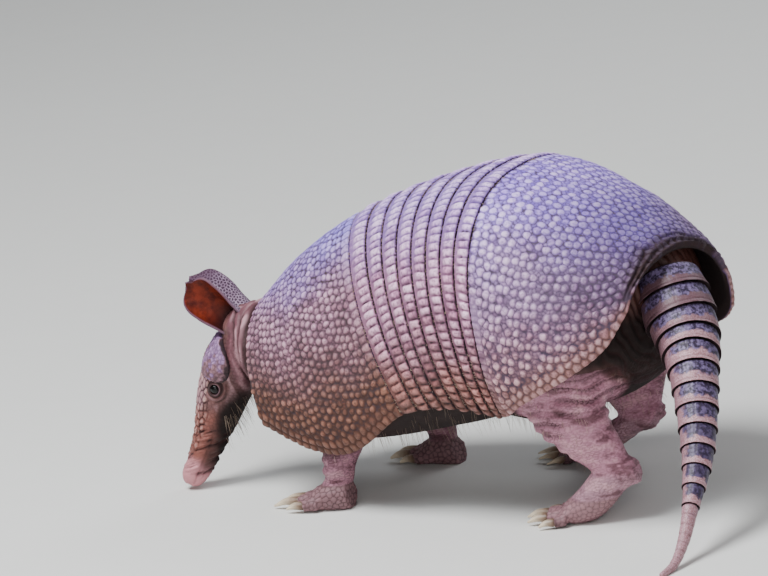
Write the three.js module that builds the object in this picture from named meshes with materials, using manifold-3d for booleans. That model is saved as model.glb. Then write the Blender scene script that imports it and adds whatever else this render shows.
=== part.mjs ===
// A life-size nine-banded armadillo nosing along the ground: a still museum model.
// Millimetres. +X runs from the nose to the tail, +Y to the animal's right, +Z up; the floor is z = 0.
import * as THREE from "three";
import { mergeVertices, toCreasedNormals } from "three/addons/utils/BufferGeometryUtils.js";
import Module from "manifold-3d";

const wasm = await Module();
wasm.setup();
const { Manifold, Mesh: SolidMesh } = wasm;

const V = (x, y, z) => new THREE.Vector3(x, y, z);
const radians = THREE.MathUtils.degToRad;
const { lerp, clamp, smoothstep } = THREE.MathUtils;

// ---------------------------------------------------------------- driving dimensions

const JOINT_GAP = 0.35; // clearance between two pieces that touch
const LINING_GAP = 1.7; // clearance between the trunk and the inside of the shell's flat facets
const SHELL_THICKNESS = 4.2; // bone plate with its horny scales and the skin under it
const BAND_COUNT = 8; // movable bands between the two shields
const BAND_GAP = 0.03; // share of a band's pitch left open at each fold
const BAND_RISE = 1.6; // how far a band's rear edge stands above the front edge of the next

// The shell in seven stations from the neck to the tail. station counts bands: 0 is the rear
// edge of the shoulder shield and 8 the front edge of the hip shield. x and z place the ridge of
// the back, tilt leans the section forward, half, rise and fall are its half-width and its
// heights above and below the widest level, power squares its corners, depth is how far down
// from the ridge the free margin lies and lean how much further round it goes on the right,
// where the rump tips.
const SHELL_STATIONS = {
  station: [-6, -3, 0, 4, 8, 12, 14.5, 16.5, 17.5],
  x: [-127.5, -97.5, -55.5, 3.5, 59.3, 111, 139, 154, 160],
  y: [0, 0, 0, 0, 0, -4, -9, -13, -14],
  z: [116, 143, 167.5, 188.6, 197, 180.5, 165, 156, 152],
  tilt: [12, 23.5, 27.5, 16.8, 5, -8.5, -8, -4, -3],
  turn: [0, 0, 0, 0, -1, -4, -6, -8, -9],
  half: [48, 64, 70, 81, 88, 86, 77, 62, 52],
  rise: [56, 96, 112, 98, 84, 75, 64, 54, 44],
  fall: [44, 66, 70, 74, 78, 78, 70, 56, 50],
  power: [2.0, 1.8, 1.7, 2.05, 2.4, 2.15, 2.0, 2.0, 2.0],
  depth: [68, 116, 116, 123, 131, 104, 72, 47, 26],
  lean: [0, 0, 0, 0, 0, 4, 10, 12, 8],
};
const FRONT = SHELL_STATIONS.station[0];
const REAR = SHELL_STATIONS.station.at(-1);

// The flesh inside the shell at the same stations: tuck draws it in at the two ends, where the
// shell stands clear of it, and belly is its depth below the widest level.
const TRUNK_STATIONS = {
  station: [-5.7, -5, -3.5, 0, 4, 8, 12, 14, 15, 15.8],
  tuck: [3, 1.4, 0.4, 0, 0, 0, 0, 4, 12, 24],
  belly: [25, 25, 23, 29, 46, 64, 52, 40, 28, 16],
};

// The head: its origin is the middle of the skull's back, axis points to the nose, dorsal out of
// the forehead and side to the animal's left.
const HEAD_YAW = radians(22);
const HEAD_PITCH = radians(65);
const HEAD_ORIGIN = V(-150, -3, 91.6);
const HEAD_STATIONS = {
  station: [-13, -10, -4, 4, 12, 20, 29, 41, 54, 66, 78, 88, 93, 96.5, 98],
  rise: [3, 5.5, 8, 11, 13, 14, 14.4, 13, 10.2, 7.6, 6.8, 7.2, 6.9, 5.2, 3.2],
  fall: [12, 17, 21, 22.5, 22, 21, 19.5, 17.6, 15.8, 13.6, 11.4, 9.4, 7.8, 5.6, 3.4],
  half: [9, 14, 18.5, 20.5, 20.5, 19.2, 17.2, 14.2, 11.4, 9.7, 8.8, 8.3, 7.6, 5.6, 3.6],
};
const CROWN_GAP = 1.15; // clearance between that plate and the flat facets of the head
const CROWN_THICKNESS = 1.6; // horny plate from between the ears to the brow
const CROWN_STATIONS = { station: [0, 0.2, 0.4, 0.7, 0.88, 1], reach: [42, 74, 82, 82, 70, 42] };
const EYE_RADIUS = 3.6;
const EYE_AT = { along: 31.2, dorsal: 2.2, side: 14 };

// The ear: a scoop rolled to a tube at its root. radius and wrap are those of its cross-section.
const EAR_LENGTH = 37;
const EAR_THICKNESS = 1.3;
const EAR_STATIONS = {
  station: [0, 0.25, 0.5, 0.75, 0.9, 0.97, 1],
  radius: [9, 10, 12.4, 14.4, 15.6, 16, 16],
  wrap: [115, 98, 76, 58, 44, 30, 13],
};

// The tail's centre line and radius from the rump to the tip that lies on the floor.
const TAIL_RINGS = 12;
const TAIL_STATIONS = {
  station: [0, 17, 35, 60, 86, 112, 132, 147, 165, 183, 199],
  x: [149, 159, 169, 179.5, 188, 195, 198.5, 201, 203, 204, 203],
  y: [-9, -18, -28, -45, -62, -80, -95, -107, -122, -138, -153],
  z: [132, 116, 101, 86.6, 67.6, 48.6, 35, 25.5, 12.5, 3.4, 1.2],
  radius: [20, 21, 18.5, 14.5, 11.8, 9.2, 6.6, 4.7, 3.5, 2.5, 1.6],
};
const RINGED_LENGTH = 146;

// Legs of the left side. front and back are the depths of a section ahead of and behind its
// centre, half its half-width. The feet are flat boxes of flesh with round toes.
const FORELEG = {
  station: [0, 1, 2, 3],
  x: [-58, -61, -65, -66],
  y: [-34, -40, -44, -45.5],
  z: [68, 46, 28, 17],
  front: [17, 15, 11, 9.5],
  back: [18, 15, 10.5, 9.5],
  half: [13, 12.5, 10, 9],
};
const HINDLEG = {
  station: [0, 1, 2, 3, 4],
  x: [104, 99, 108, 119, 128],
  y: [-40, -52, -55, -54, -53],
  z: [98, 72, 54, 40, 26],
  front: [30, 27, 19, 13.5, 10],
  back: [28, 26, 20, 14, 10],
  half: [20, 18, 15, 11.5, 9],
};

const FOREFOOT = {
  sole: {
    station: [0, 1, 2],
    x: [-59, -70, -82],
    y: [-45, -46, -47],
    z: [9, 8.5, 6.5],
    front: [8, 9, 6],
    back: [10.5, 10.5, 8.4],
    half: [8.5, 11.5, 11],
  },
  toes: [
    { from: [-76, -56, 5], to: [-86, -58.5, 4.4], radius: 3.9, claw: 10 },
    { from: [-80, -50.5, 5.4], to: [-92, -51.5, 4.8], radius: 4.3, claw: 17 },
    { from: [-80, -43.5, 5.4], to: [-92, -43.5, 4.8], radius: 4.3, claw: 16 },
    { from: [-76, -38, 5], to: [-86, -36, 4.4], radius: 3.9, claw: 10 },
  ],
};
const HINDFOOT = {
  sole: {
    station: [0, 1, 2, 3],
    x: [139, 126, 108, 95],
    y: [-51, -53, -56, -58],
    z: [29, 26, 12, 6],
    front: [8, 12, 10, 6.5],
    back: [7, 9, 11, 8.5],
    half: [8, 11, 13, 12.5],
  },
  toes: [
    { from: [98, -69.5, 4.4], to: [91.5, -73.3, 3.8], radius: 3.6, claw: 9 },
    { from: [94, -64, 5], to: [84, -66.8, 4.4], radius: 4, claw: 12 },
    { from: [93, -57.5, 5.2], to: [81, -58.5, 4.6], radius: 4.2, claw: 14 },
    { from: [94, -51, 5], to: [85, -50.2, 4.4], radius: 4, claw: 12 },
    { from: [98, -46, 4.4], to: [92, -43.3, 3.8], radius: 3.6, claw: 9 },
  ],
};

// ---------------------------------------------------------------- helpers

// A smooth curve through the stations of a table: a cubic with the neighbours' mean slopes.
function along(table, column, at) {
  const xs = table.station;
  const ys = table[column];
  const last = xs.length - 1;
  let i = xs.findIndex((x) => x > at) - 1;
  if (i === -2) i = last - 1;
  i = clamp(i, 0, last - 1);
  const slope = (k) => {
    const a = Math.max(k - 1, 0);
    const b = Math.min(k + 1, last);
    return (ys[b] - ys[a]) / (xs[b] - xs[a]);
  };
  const width = xs[i + 1] - xs[i];
  const t = (at - xs[i]) / width;
  const t2 = t * t;
  const t3 = t2 * t;
  return (
    (2 * t3 - 3 * t2 + 1) * ys[i] +
    (t3 - 2 * t2 + t) * width * slope(i) +
    (-2 * t3 + 3 * t2) * ys[i + 1] +
    (t3 - t2) * width * slope(i + 1)
  );
}

// Moves every vertex of a closed three.js geometry through place and welds it into one body.
function shape(geometry, place) {
  geometry.deleteAttribute("normal");
  geometry.deleteAttribute("uv");
  const at = geometry.attributes.position;
  const vertex = V(0, 0, 0);
  for (let i = 0; i < at.count; i++) {
    vertex.fromBufferAttribute(at, i);
    const moved = place(vertex);
    at.setXYZ(i, moved.x, moved.y, moved.z);
  }
  const welded = mergeVertices(geometry, 1e-3);
  if (volume(welded) < 0) welded.index.array.reverse();
  return welded;
}

function volume(geometry) {
  const at = geometry.attributes.position;
  const index = geometry.index.array;
  const [a, b, c] = [V(), V(), V()];
  let sum = 0;
  for (let i = 0; i < index.length; i += 3) {
    a.fromBufferAttribute(at, index[i]);
    b.fromBufferAttribute(at, index[i + 1]);
    c.fromBufferAttribute(at, index[i + 2]);
    sum += a.dot(b.cross(c));
  }
  return sum / 6;
}

// A body lofted along its length: section(t, angle) is its skin, with t from 0 to 1.
function loft(section, around, steps) {
  const tube = new THREE.CylinderGeometry(1, 1, 1, around, steps);
  return shape(tube, ({ x, y, z }) => {
    const t = y + 0.5;
    const radius = Math.min(1, Math.hypot(x, z));
    const angle = Math.atan2(z, x);
    if (radius > 0.5) return section(t, angle);
    const centre = V(0, 0, 0);
    for (let k = 0; k < around; k++) centre.add(section(t, (k / around) * 2 * Math.PI));
    return centre.divideScalar(around);
  });
}

// A slab bent to a surface: surface(a, b, c) with a and b from 0 to 1 and c from 0 inside to 1 outside.
function slab(surface, alongSteps, acrossSteps) {
  const box = new THREE.BoxGeometry(1, 1, 1, alongSteps, acrossSteps, 1);
  return shape(box, ({ x, y, z }) => surface(x + 0.5, y + 0.5, z + 0.5));
}

function solid(geometry) {
  const { position } = geometry.attributes;
  return new Manifold(
    new SolidMesh({
      numProp: 3,
      vertProperties: new Float32Array(position.array),
      triVerts: new Uint32Array(geometry.index.array),
    }),
  );
}

function geometryOf(body) {
  const { vertProperties, triVerts } = body.getMesh();
  const geometry = new THREE.BufferGeometry();
  geometry.setAttribute("position", new THREE.BufferAttribute(vertProperties, 3));
  geometry.setIndex(new THREE.BufferAttribute(triVerts, 1));
  return geometry;
}

// The largest piece of a body after a cut.
function largest(body) {
  return body.decompose().sort((a, b) => b.volume() - a.volume())[0];
}

// Everything above the floor: what would pass below it becomes a small flat at z = 0.
function onFloor(body) {
  return body.trimByPlane([0, 0, 1], 0);
}

// A point of an oval section: sizes holds rise above the centre, fall below it, half to each side.
function ovalPoint(centre, up, across, { rise, fall, half, power = 2 }, angle) {
  const side = Math.sign(Math.sin(angle)) * Math.abs(Math.sin(angle)) ** (2 / power);
  const high = Math.sign(Math.cos(angle)) * Math.abs(Math.cos(angle)) ** (2 / power);
  return centre
    .clone()
    .addScaledVector(up, high * (high > 0 ? rise : fall))
    .addScaledVector(across, side * half);
}

// The skin of a limb: an oval swept along a bent centre line, with `ahead` the side that the
// column front is measured to. place moves the finished point, and grow swells the limb.
function limb(table, ahead, place = (p) => p, grow = 0) {
  const last = table.station.at(-1);
  const centreAt = (s) => V(...["x", "y", "z"].map((c) => along(table, c, clamp(s, 0, last))));
  return (t, angle) => {
    const at = t * last;
    const tangent = centreAt(at + 0.02 * last).sub(centreAt(at - 0.02 * last)).normalize();
    const across = V(0, 0, 0).crossVectors(tangent, ahead).normalize();
    const up = V(0, 0, 0).crossVectors(across, tangent);
    const centre = centreAt(at).addScaledVector(tangent, grow * (2 * t - 1));
    const get = (column) => along(table, column, at) + grow;
    const radius = table.radius ? get("radius") : 0;
    const sizes = radius
      ? { rise: radius, fall: radius, half: radius }
      : { rise: get("front"), fall: get("back"), half: get("half") };
    return place(ovalPoint(centre, up, across, sizes, angle));
  };
}

const animal = new THREE.Group();
function add(name, geometry, material) {
  const mesh = new THREE.Mesh(toCreasedNormals(geometry, radians(35)), material);
  mesh.name = name;
  animal.add(mesh);
}
const shellMaterial = new THREE.MeshStandardMaterial({ color: 0x8b7c80, roughness: 0.55 });
const fleshMaterial = new THREE.MeshStandardMaterial({ color: 0xb08a80, roughness: 0.8 });
const clawMaterial = new THREE.MeshStandardMaterial({ color: 0xd8c4b0, roughness: 0.4 });
const eyeMaterial = new THREE.MeshStandardMaterial({ color: 0x0a0808, roughness: 0.1 });

// ---------------------------------------------------------------- shell

// The frame of one section: its ridge point, its upward direction and its sizes.
function sectionAt(station) {
  const get = (column) => along(SHELL_STATIONS, column, station);
  const tilt = radians(get("tilt"));
  const turn = radians(get("turn"));
  const up = V(-Math.sin(tilt) * Math.cos(turn), -Math.sin(tilt) * Math.sin(turn), Math.cos(tilt));
  const across = V(-Math.sin(turn), Math.cos(turn), 0);
  const rise = get("rise");
  const centre = V(get("x"), get("y"), get("z")).addScaledVector(up, -rise);
  return { up, across, centre, rise, half: get("half"), fall: get("fall"), power: get("power"), depth: get("depth"), lean: radians(get("lean")) };
}

// The angle from the ridge at which a section reaches the free margin of the shell.
function marginAngle({ rise, fall, power, depth }) {
  if (depth <= rise) return Math.acos(((rise - depth) / rise) ** (power / 2));
  return Math.PI / 2 + Math.asin(clamp((depth - rise) / fall, 0, 1) ** (power / 2));
}

// A point of the section at an angle from the ridge, inset from the outer surface.
function onSection(section, angle, inset, fall = section.fall - inset) {
  const { centre, up, across, rise, half, power } = section;
  return ovalPoint(centre, up, across, { rise: rise - inset, fall, half: half - inset, power }, angle);
}

function shellSlab(from, to, rows, columns, lift = () => 0) {
  return slab(
    (a, b, c) => {
      const section = sectionAt(lerp(from, to, a));
      const margin = marginAngle(section);
      const inset = c > 0.5 ? -lift(a) : SHELL_THICKNESS;
      return onSection(section, lerp(-margin, margin + section.lean, b), inset);
    },
    rows,
    columns,
  );
}

add("shoulder_shield", shellSlab(FRONT, -BAND_GAP, 8, 18), shellMaterial);
for (let k = 0; k < BAND_COUNT; k++) {
  const band = shellSlab(k + BAND_GAP, k + 1 - BAND_GAP, 1, 18, (a) => BAND_RISE * (a - 0.5));
  add(`band_${k + 1}`, band, shellMaterial);
}
add("hip_shield", shellSlab(BAND_COUNT + BAND_GAP, REAR, 10, 18), shellMaterial);

// ---------------------------------------------------------------- trunk, neck and head

// The skin of the trunk at a station, `grow` outside its surface.
function trunkSkin(station, angle, grow = 0) {
  const inset = SHELL_THICKNESS + LINING_GAP + along(TRUNK_STATIONS, "tuck", station) - grow;
  return onSection(sectionAt(station), angle, inset, along(TRUNK_STATIONS, "belly", station) + grow);
}
function trunkBody(grow) {
  const from = TRUNK_STATIONS.station[0] - grow / 10;
  const to = TRUNK_STATIONS.station.at(-1) + grow / 10;
  return solid(loft((t, angle) => trunkSkin(lerp(from, to, t), angle, grow), 18, 12));
}

const headAxis = V(-Math.cos(HEAD_YAW) * Math.cos(HEAD_PITCH), -Math.sin(HEAD_YAW) * Math.cos(HEAD_PITCH), -Math.sin(HEAD_PITCH));
const headSide = V(Math.sin(HEAD_YAW), -Math.cos(HEAD_YAW), 0);
const headDorsal = V(0, 0, 0).crossVectors(headAxis, headSide);
if (headDorsal.z < 0) headDorsal.negate();

// A point of the head from its distances along the axis, out of the forehead and to the left.
function headPoint(distance, dorsal, side) {
  return HEAD_ORIGIN.clone()
    .addScaledVector(headAxis, distance)
    .addScaledVector(headDorsal, dorsal)
    .addScaledVector(headSide, side);
}
function headSkin(distance, angle, grow = 0) {
  const get = (column) => along(HEAD_STATIONS, column, distance) + grow;
  const sizes = { rise: get("rise"), fall: get("fall"), half: get("half"), power: 2.15 };
  return ovalPoint(headPoint(distance, 0, 0), headDorsal, headSide, sizes, angle);
}
function headBody(grow) {
  const from = HEAD_STATIONS.station[0] - grow;
  const to = HEAD_STATIONS.station.at(-1) + grow;
  return solid(loft((t, angle) => headSkin(lerp(from, to, t), angle, grow), 18, 16));
}

// The neck runs from the front of the trunk into the back of the skull.
function neckBody(grow) {
  const station = TRUNK_STATIONS.station[0];
  const { up, across } = sectionAt(station);
  const forward = V(0, 0, 0).crossVectors(up, across);
  if (forward.x > 0) forward.negate();
  const skull = headPoint(4, -4, 0);
  const skullUp = headDorsal.clone().addScaledVector(headAxis, -0.9).normalize();
  return solid(
    loft((t, angle) => {
      const root = trunkSkin(station, angle, grow).addScaledVector(forward, JOINT_GAP - grow);
      const end = ovalPoint(skull, skullUp, headSide.clone().negate(), { rise: 15, fall: 19, half: 16 }, angle);
      return root.lerp(end, t).addScaledVector(skullUp, 7 * Math.sin(Math.PI * t));
    }, 16, 4),
  );
}

const eyeBodies = [1, -1].map((side) => {
  const centre = headPoint(EYE_AT.along, EYE_AT.dorsal, side * EYE_AT.side);
  const ball = (radius) =>
    solid(shape(new THREE.SphereGeometry(radius, 10, 7), (p) => p.clone().add(centre)));
  return { ball: ball(EYE_RADIUS), socket: ball(EYE_RADIUS + JOINT_GAP) };
});

// The plate of horny scales from between the ears to the brow.
function headShield() {
  return slab(
    (a, b, c) => {
      const distance = lerp(0.5, 26, a);
      const reach = radians(along(CROWN_STATIONS, "reach", a));
      return headSkin(distance, lerp(-reach, reach, b), CROWN_GAP + c * CROWN_THICKNESS);
    },
    5,
    10,
  );
}

// ---------------------------------------------------------------- ears

function earBody(side) {
  const root = headPoint(-10, 2.5, side * 10.5);
  const outward = headSide.clone().multiplyScalar(side);
  const length = headDorsal.clone().multiplyScalar(0.92).addScaledVector(headAxis, -0.3).addScaledVector(outward, 0.22).normalize();
  const opening = outward.clone().addScaledVector(headAxis, 0.1);
  opening.addScaledVector(length, -opening.dot(length)).normalize();
  const across = V(0, 0, 0).crossVectors(length, opening);
  return solid(
    slab(
      (a, b, c) => {
        const get = (column) => along(EAR_STATIONS, column, a);
        const wrap = radians(get("wrap"));
        const angle = lerp(-wrap, wrap, b);
        const radius = get("radius") - (c > 0.5 ? EAR_THICKNESS : 0);
        const tip = 3 * smoothstep(Math.abs(2 * b - 1), 0, 1) * smoothstep(a, 0.6, 1);
        return root
          .clone()
          .addScaledVector(length, EAR_LENGTH * a - tip)
          .addScaledVector(across, radius * Math.sin(angle))
          .addScaledVector(opening, (get("radius") - EAR_STATIONS.radius[0]) * 0.55 - radius * Math.cos(angle));
      },
      7,
      7,
    ),
  );
}

// ---------------------------------------------------------------- tail

const tailAhead = V(1, 0, 0.4);
function tailRing(from, to, flare, grow = 0) {
  const whole = TAIL_STATIONS.station.at(-1);
  const skin = limb(TAIL_STATIONS, tailAhead);
  const centre = (s) => skin(s / whole, 0).add(skin(s / whole, Math.PI)).multiplyScalar(0.5);
  return solid(
    loft((t, angle) => {
      const s = lerp(from - grow, to + grow, t);
      const middle = centre(s);
      const radius = along(TAIL_STATIONS, "radius", s);
      const swell = 1 + flare * (t - 0.5) + grow / radius;
      return skin(s / whole, angle).sub(middle).multiplyScalar(swell).add(middle);
    }, 13, 2),
  );
}

// ---------------------------------------------------------------- legs and feet

// A leg of the left side, or of the right side mirrored, with its foot moved along x by stride.
function poseOf(side, stride) {
  return ({ x, y, z }) => V(x + stride * clamp((90 - z) / 90, 0, 1), side * y, z);
}

function legBody(table, place) {
  return solid(loft(limb(table, V(-1, 0, 0.2), place), 12, 4));
}

// A foot: a flat sole of flesh and round toes, each with its claw, cut off level with the floor.
function footBodies({ sole, toes }, place, grow = 0) {
  const rod = (table, around, steps) => solid(loft(limb(table, V(0, 0, 1), place, grow), around, steps));
  const flesh = [rod(sole, 10, 3)];
  const claws = [];
  for (const { from, to, radius, claw } of toes) {
    const end = V(...to);
    const direction = end.clone().sub(V(...from)).normalize();
    const columns = (points) => ({
      x: points.map((point) => point.x),
      y: points.map((point) => point.y),
      z: points.map((point) => point.z),
    });
    flesh.push(rod({ station: [0, 1], ...columns([V(...from), end]), radius: [radius * 1.1, radius] }, 7, 1));
    const root = end.clone().addScaledVector(direction, JOINT_GAP);
    const middle = end.clone().addScaledVector(direction, claw * 0.5);
    const tip = end.clone().addScaledVector(direction, claw);
    tip.z = Math.max(tip.z - claw * 0.12, 1);
    const table = {
      station: [0, 1, 2],
      ...columns([root, middle, tip]),
      front: [radius * 0.72, radius * 0.55, 0.6],
      back: [radius * 0.72, radius * 0.5, 0.6],
      half: [radius * 0.82, radius * 0.62, 0.7],
    };
    claws.push(rod(table, 6, 3));
  }
  return { flesh: onFloor(Manifold.union(flesh)), claws: claws.map(onFloor) };
}

// ---------------------------------------------------------------- the flesh put together

const headGrown = headBody(JOINT_GAP);
const neckGrown = neckBody(JOINT_GAP);
const trunkGrown = trunkBody(JOINT_GAP);

const pitch = RINGED_LENGTH / TAIL_RINGS;
const tailRoot = Manifold.union([0, 1].map((k) => tailRing(k * pitch, (k + 1) * pitch, 0.08, 2 * JOINT_GAP)));
add("trunk", geometryOf(largest(trunkBody(0).subtract(tailRoot))), fleshMaterial);
add("neck", geometryOf(largest(neckBody(0).subtract(headGrown))), fleshMaterial);
const sockets = Manifold.union(eyeBodies.map(({ socket }) => socket));
add("head", geometryOf(largest(headBody(0).subtract(sockets))), fleshMaterial);
add("head_shield", headShield(), shellMaterial);
["left", "right"].forEach((side, k) => {
  const ear = earBody(k ? -1 : 1).subtract(headGrown).subtract(neckGrown);
  add(`ear_${side}`, geometryOf(largest(ear)), fleshMaterial);
  add(`eye_${side}`, geometryOf(eyeBodies[k].ball), eyeMaterial);
});
for (let k = 0; k < TAIL_RINGS; k++) {
  const ring = tailRing(Math.max(1, k * pitch), (k + 1) * pitch - JOINT_GAP, 0.08);
  add(`tail_ring_${k + 1}`, geometryOf(ring), shellMaterial);
}
add("tail_tip", geometryOf(onFloor(tailRing(RINGED_LENGTH, TAIL_STATIONS.station.at(-1), 0))), shellMaterial);

for (const { name, leg, foot, side, stride } of [
  { name: "foreleg_left", leg: FORELEG, foot: FOREFOOT, side: 1, stride: 0 },
  { name: "foreleg_right", leg: FORELEG, foot: FOREFOOT, side: -1, stride: 24 },
  { name: "hindleg_left", leg: HINDLEG, foot: HINDFOOT, side: 1, stride: 0 },
  { name: "hindleg_right", leg: HINDLEG, foot: HINDFOOT, side: -1, stride: -60 },
]) {
  const place = poseOf(side, stride);
  const { flesh, claws } = footBodies(foot, place);
  const limbBody = legBody(leg, place)
    .subtract(trunkGrown)
    .subtract(footBodies(foot, place, JOINT_GAP).flesh);
  add(name, geometryOf(largest(limbBody)), fleshMaterial);
  add(name.replace("leg", "foot"), geometryOf(flesh), fleshMaterial);
  claws.forEach((claw, k) => add(`${name.replace("leg", "claw")}_${k + 1}`, geometryOf(claw), clawMaterial));
}

// The origin moves to the floor under the middle of the whole animal.
const bounds = new THREE.Box3().setFromObject(animal);
const middle = bounds.getCenter(V(0, 0, 0));
animal.position.set(-middle.x, -middle.y, 0);

export default animal;
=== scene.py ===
# %% [markdown]
# # A nine-banded armadillo, nose to the ground
# The animal is a bony shell over soft flesh. The shell's plates are rebuilt here as fine
# surfaces with every scale raised on them, the flesh becomes one skin, and claws, eyes, tail
# rings and hairs are pieces of their own. Lengths are in millimetres until the last step of
# each piece, when they become metres.

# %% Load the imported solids
import math

import bmesh
import bpy
import numpy as np
from mathutils import Matrix, Vector
from mathutils.geometry import delaunay_2d_cdt
from mathutils.kdtree import KDTree


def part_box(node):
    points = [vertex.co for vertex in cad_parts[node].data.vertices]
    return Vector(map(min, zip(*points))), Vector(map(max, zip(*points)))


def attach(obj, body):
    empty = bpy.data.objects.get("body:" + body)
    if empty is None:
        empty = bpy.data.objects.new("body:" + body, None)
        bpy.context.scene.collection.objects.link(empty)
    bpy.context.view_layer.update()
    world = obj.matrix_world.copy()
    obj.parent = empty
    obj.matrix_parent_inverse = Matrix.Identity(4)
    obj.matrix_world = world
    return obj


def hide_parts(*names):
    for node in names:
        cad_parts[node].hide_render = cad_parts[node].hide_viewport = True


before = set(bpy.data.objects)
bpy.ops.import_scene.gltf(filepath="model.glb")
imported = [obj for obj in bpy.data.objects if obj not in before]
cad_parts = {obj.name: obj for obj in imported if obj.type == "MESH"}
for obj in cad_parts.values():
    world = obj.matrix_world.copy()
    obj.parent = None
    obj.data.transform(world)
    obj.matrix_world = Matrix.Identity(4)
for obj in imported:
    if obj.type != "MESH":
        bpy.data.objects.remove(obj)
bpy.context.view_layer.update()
print("solids:", len(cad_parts), "nodes")
# %% [markdown]
# ## The animal's measures
# The same tables shape the solids: each row follows the body from one station to the next, and
# a cubic curve runs through the values. The shell's stations count its bands, with 0 at the
# rear edge of the shoulder shield and 8 at the front edge of the hip shield.

# %% Tables and the curve through them
SHELL = {
    "station": [-6, -3, 0, 4, 8, 12, 14.5, 16.5, 17.5],
    "x": [-127.5, -97.5, -55.5, 3.5, 59.3, 111, 139, 154, 160],
    "y": [0, 0, 0, 0, 0, -4, -9, -13, -14],
    "z": [116, 143, 167.5, 188.6, 197, 180.5, 165, 156, 152],
    "tilt": [12, 23.5, 27.5, 16.8, 5, -8.5, -8, -4, -3],
    "turn": [0, 0, 0, 0, -1, -4, -6, -8, -9],
    "half": [48, 64, 70, 81, 88, 86, 77, 62, 52],
    "rise": [56, 96, 112, 98, 84, 75, 64, 54, 44],
    "fall": [44, 66, 70, 74, 78, 78, 70, 56, 50],
    "power": [2.0, 1.8, 1.7, 2.05, 2.4, 2.15, 2.0, 2.0, 2.0],
    "depth": [68, 116, 116, 123, 131, 104, 72, 47, 26],
    "lean": [0, 0, 0, 0, 0, 4, 10, 12, 8],
}
TRUNK = {
    "station": [-5.7, -5, -3.5, 0, 4, 8, 12, 14, 15, 15.8],
    "tuck": [3, 1.4, 0.4, 0, 0, 0, 0, 4, 12, 24],
    "belly": [25, 25, 23, 29, 46, 64, 52, 40, 28, 16],
}
SHELL_THICKNESS, BAND_COUNT, BAND_GAP = 4.2, 8, 0.03


def along(table, column, at):
    """The table's column at any station: a cubic with the neighbours' mean slopes."""
    xs, ys = np.array(table["station"], float), np.array(table[column], float)
    at = np.asarray(at, float)
    i = np.clip(np.searchsorted(xs, at, "right") - 1, 0, len(xs) - 2)
    every = np.arange(len(xs))
    before, after = np.maximum(every - 1, 0), np.minimum(every + 1, len(xs) - 1)
    slope = (ys[after] - ys[before]) / (xs[after] - xs[before])
    width = xs[i + 1] - xs[i]
    t = (at - xs[i]) / width
    return (
        (2 * t**3 - 3 * t**2 + 1) * ys[i]
        + (t**3 - 2 * t**2 + t) * width * slope[i]
        + (3 * t**2 - 2 * t**3) * ys[i + 1]
        + (t**3 - t**2) * width * slope[i + 1]
    )


def several(table, at, *columns):
    return [along(table, column, at) for column in columns]


def line_point(table, at):
    return np.stack(several(table, at, *"xyz"), -1)


def step(x, low, high):
    """0 below low, 1 above high, smooth between."""
    t = np.clip((np.asarray(x, float) - low) / (high - low), 0, 1)
    return t * t * (3 - 2 * t)


def fade(x, low, high):
    """1 below low, 0 above high, smooth between."""
    return 1 - step(x, low, high)


def wave(value, centre, width):
    """A bell curve: 1 at the centre, about a third at one width from it."""
    return np.exp(-(((value - centre) / width) ** 2))


def mix(a, b, t):
    return a + (b - a) * t


def unit(v):
    return v / np.linalg.norm(v, axis=-1, keepdims=True)


def gap_to(points, centre):
    return np.linalg.norm(points - centre, axis=-1)

def noise(points, size, seed):
    """Smooth random values from -1 to 1 whose bumps are about `size` across."""
    p = np.asarray(points, float) / size + 31.7 * seed
    cell = np.floor(p)
    f = p - cell
    f = f * f * (3 - 2 * f)
    total = 0.0
    for dx in (0, 1):
        for dy in (0, 1):
            for dz in (0, 1):
                corner = cell + [dx, dy, dz]
                raw = np.sin(corner @ [127.1, 311.7, 74.7] + 13.7 * seed) * 43758.5453
                weight = np.prod(np.where([dx, dy, dz], f, 1 - f), axis=-1)
                total = total + weight * (raw - np.floor(raw))
    return 2 * total - 1

# %% [markdown]
# ## Where the animal stands
# The solids were moved so that the origin is on the floor under their middle. The left eye's
# place is known in both frames, so the difference between the two is the shift.

# %% The head's axes and the shift into the frame
HEAD_YAW, HEAD_PITCH = math.radians(22), math.radians(65)
HEAD_ORIGIN = np.array([-150, -3, 91.6])
EYE_AT = (31.2, 2.2, 14)
head_axis = np.array(
    [-math.cos(HEAD_YAW) * math.cos(HEAD_PITCH), -math.sin(HEAD_YAW) * math.cos(HEAD_PITCH), -math.sin(HEAD_PITCH)]
)
head_side = np.array([math.sin(HEAD_YAW), -math.cos(HEAD_YAW), 0.0])
head_dorsal = np.cross(head_axis, head_side)


def head_point(distance, dorsal, side):
    """A point of the head from its distances along the axis, out of the forehead and to the left."""
    distance, dorsal, side = np.broadcast_arrays(distance, dorsal, side)
    return (
        HEAD_ORIGIN
        + distance[..., None] * head_axis
        + dorsal[..., None] * head_dorsal
        + side[..., None] * head_side
    )


eye_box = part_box("eye_left")
shift = np.array((eye_box[0] + eye_box[1]) / 2) * 1000 - head_point(*EYE_AT)
shift[2] = 0
print("shift of the frame, mm:", shift.round(2), "dorsal", head_dorsal.round(3))


def to_frame(points):
    return (np.asarray(points, float) + shift) * 0.001

# %% [markdown]
# ## Camera
# A long lens looks down a little on the animal's left rear, and the camera is rolled by a few
# degrees, so that the back slopes up to the hips.

# %% Place the camera
VIEW_AZIMUTH, VIEW_ELEVATION, VIEW_ROLL = (math.radians(a) for a in (32, 14, 8))
VIEW_DISTANCE, PIXELS_PER_MM, FRAME_WIDTH = 4000, 1.7, 768
VIEW_TARGET = np.array([-48.5, 4.8, 119.7])

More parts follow.
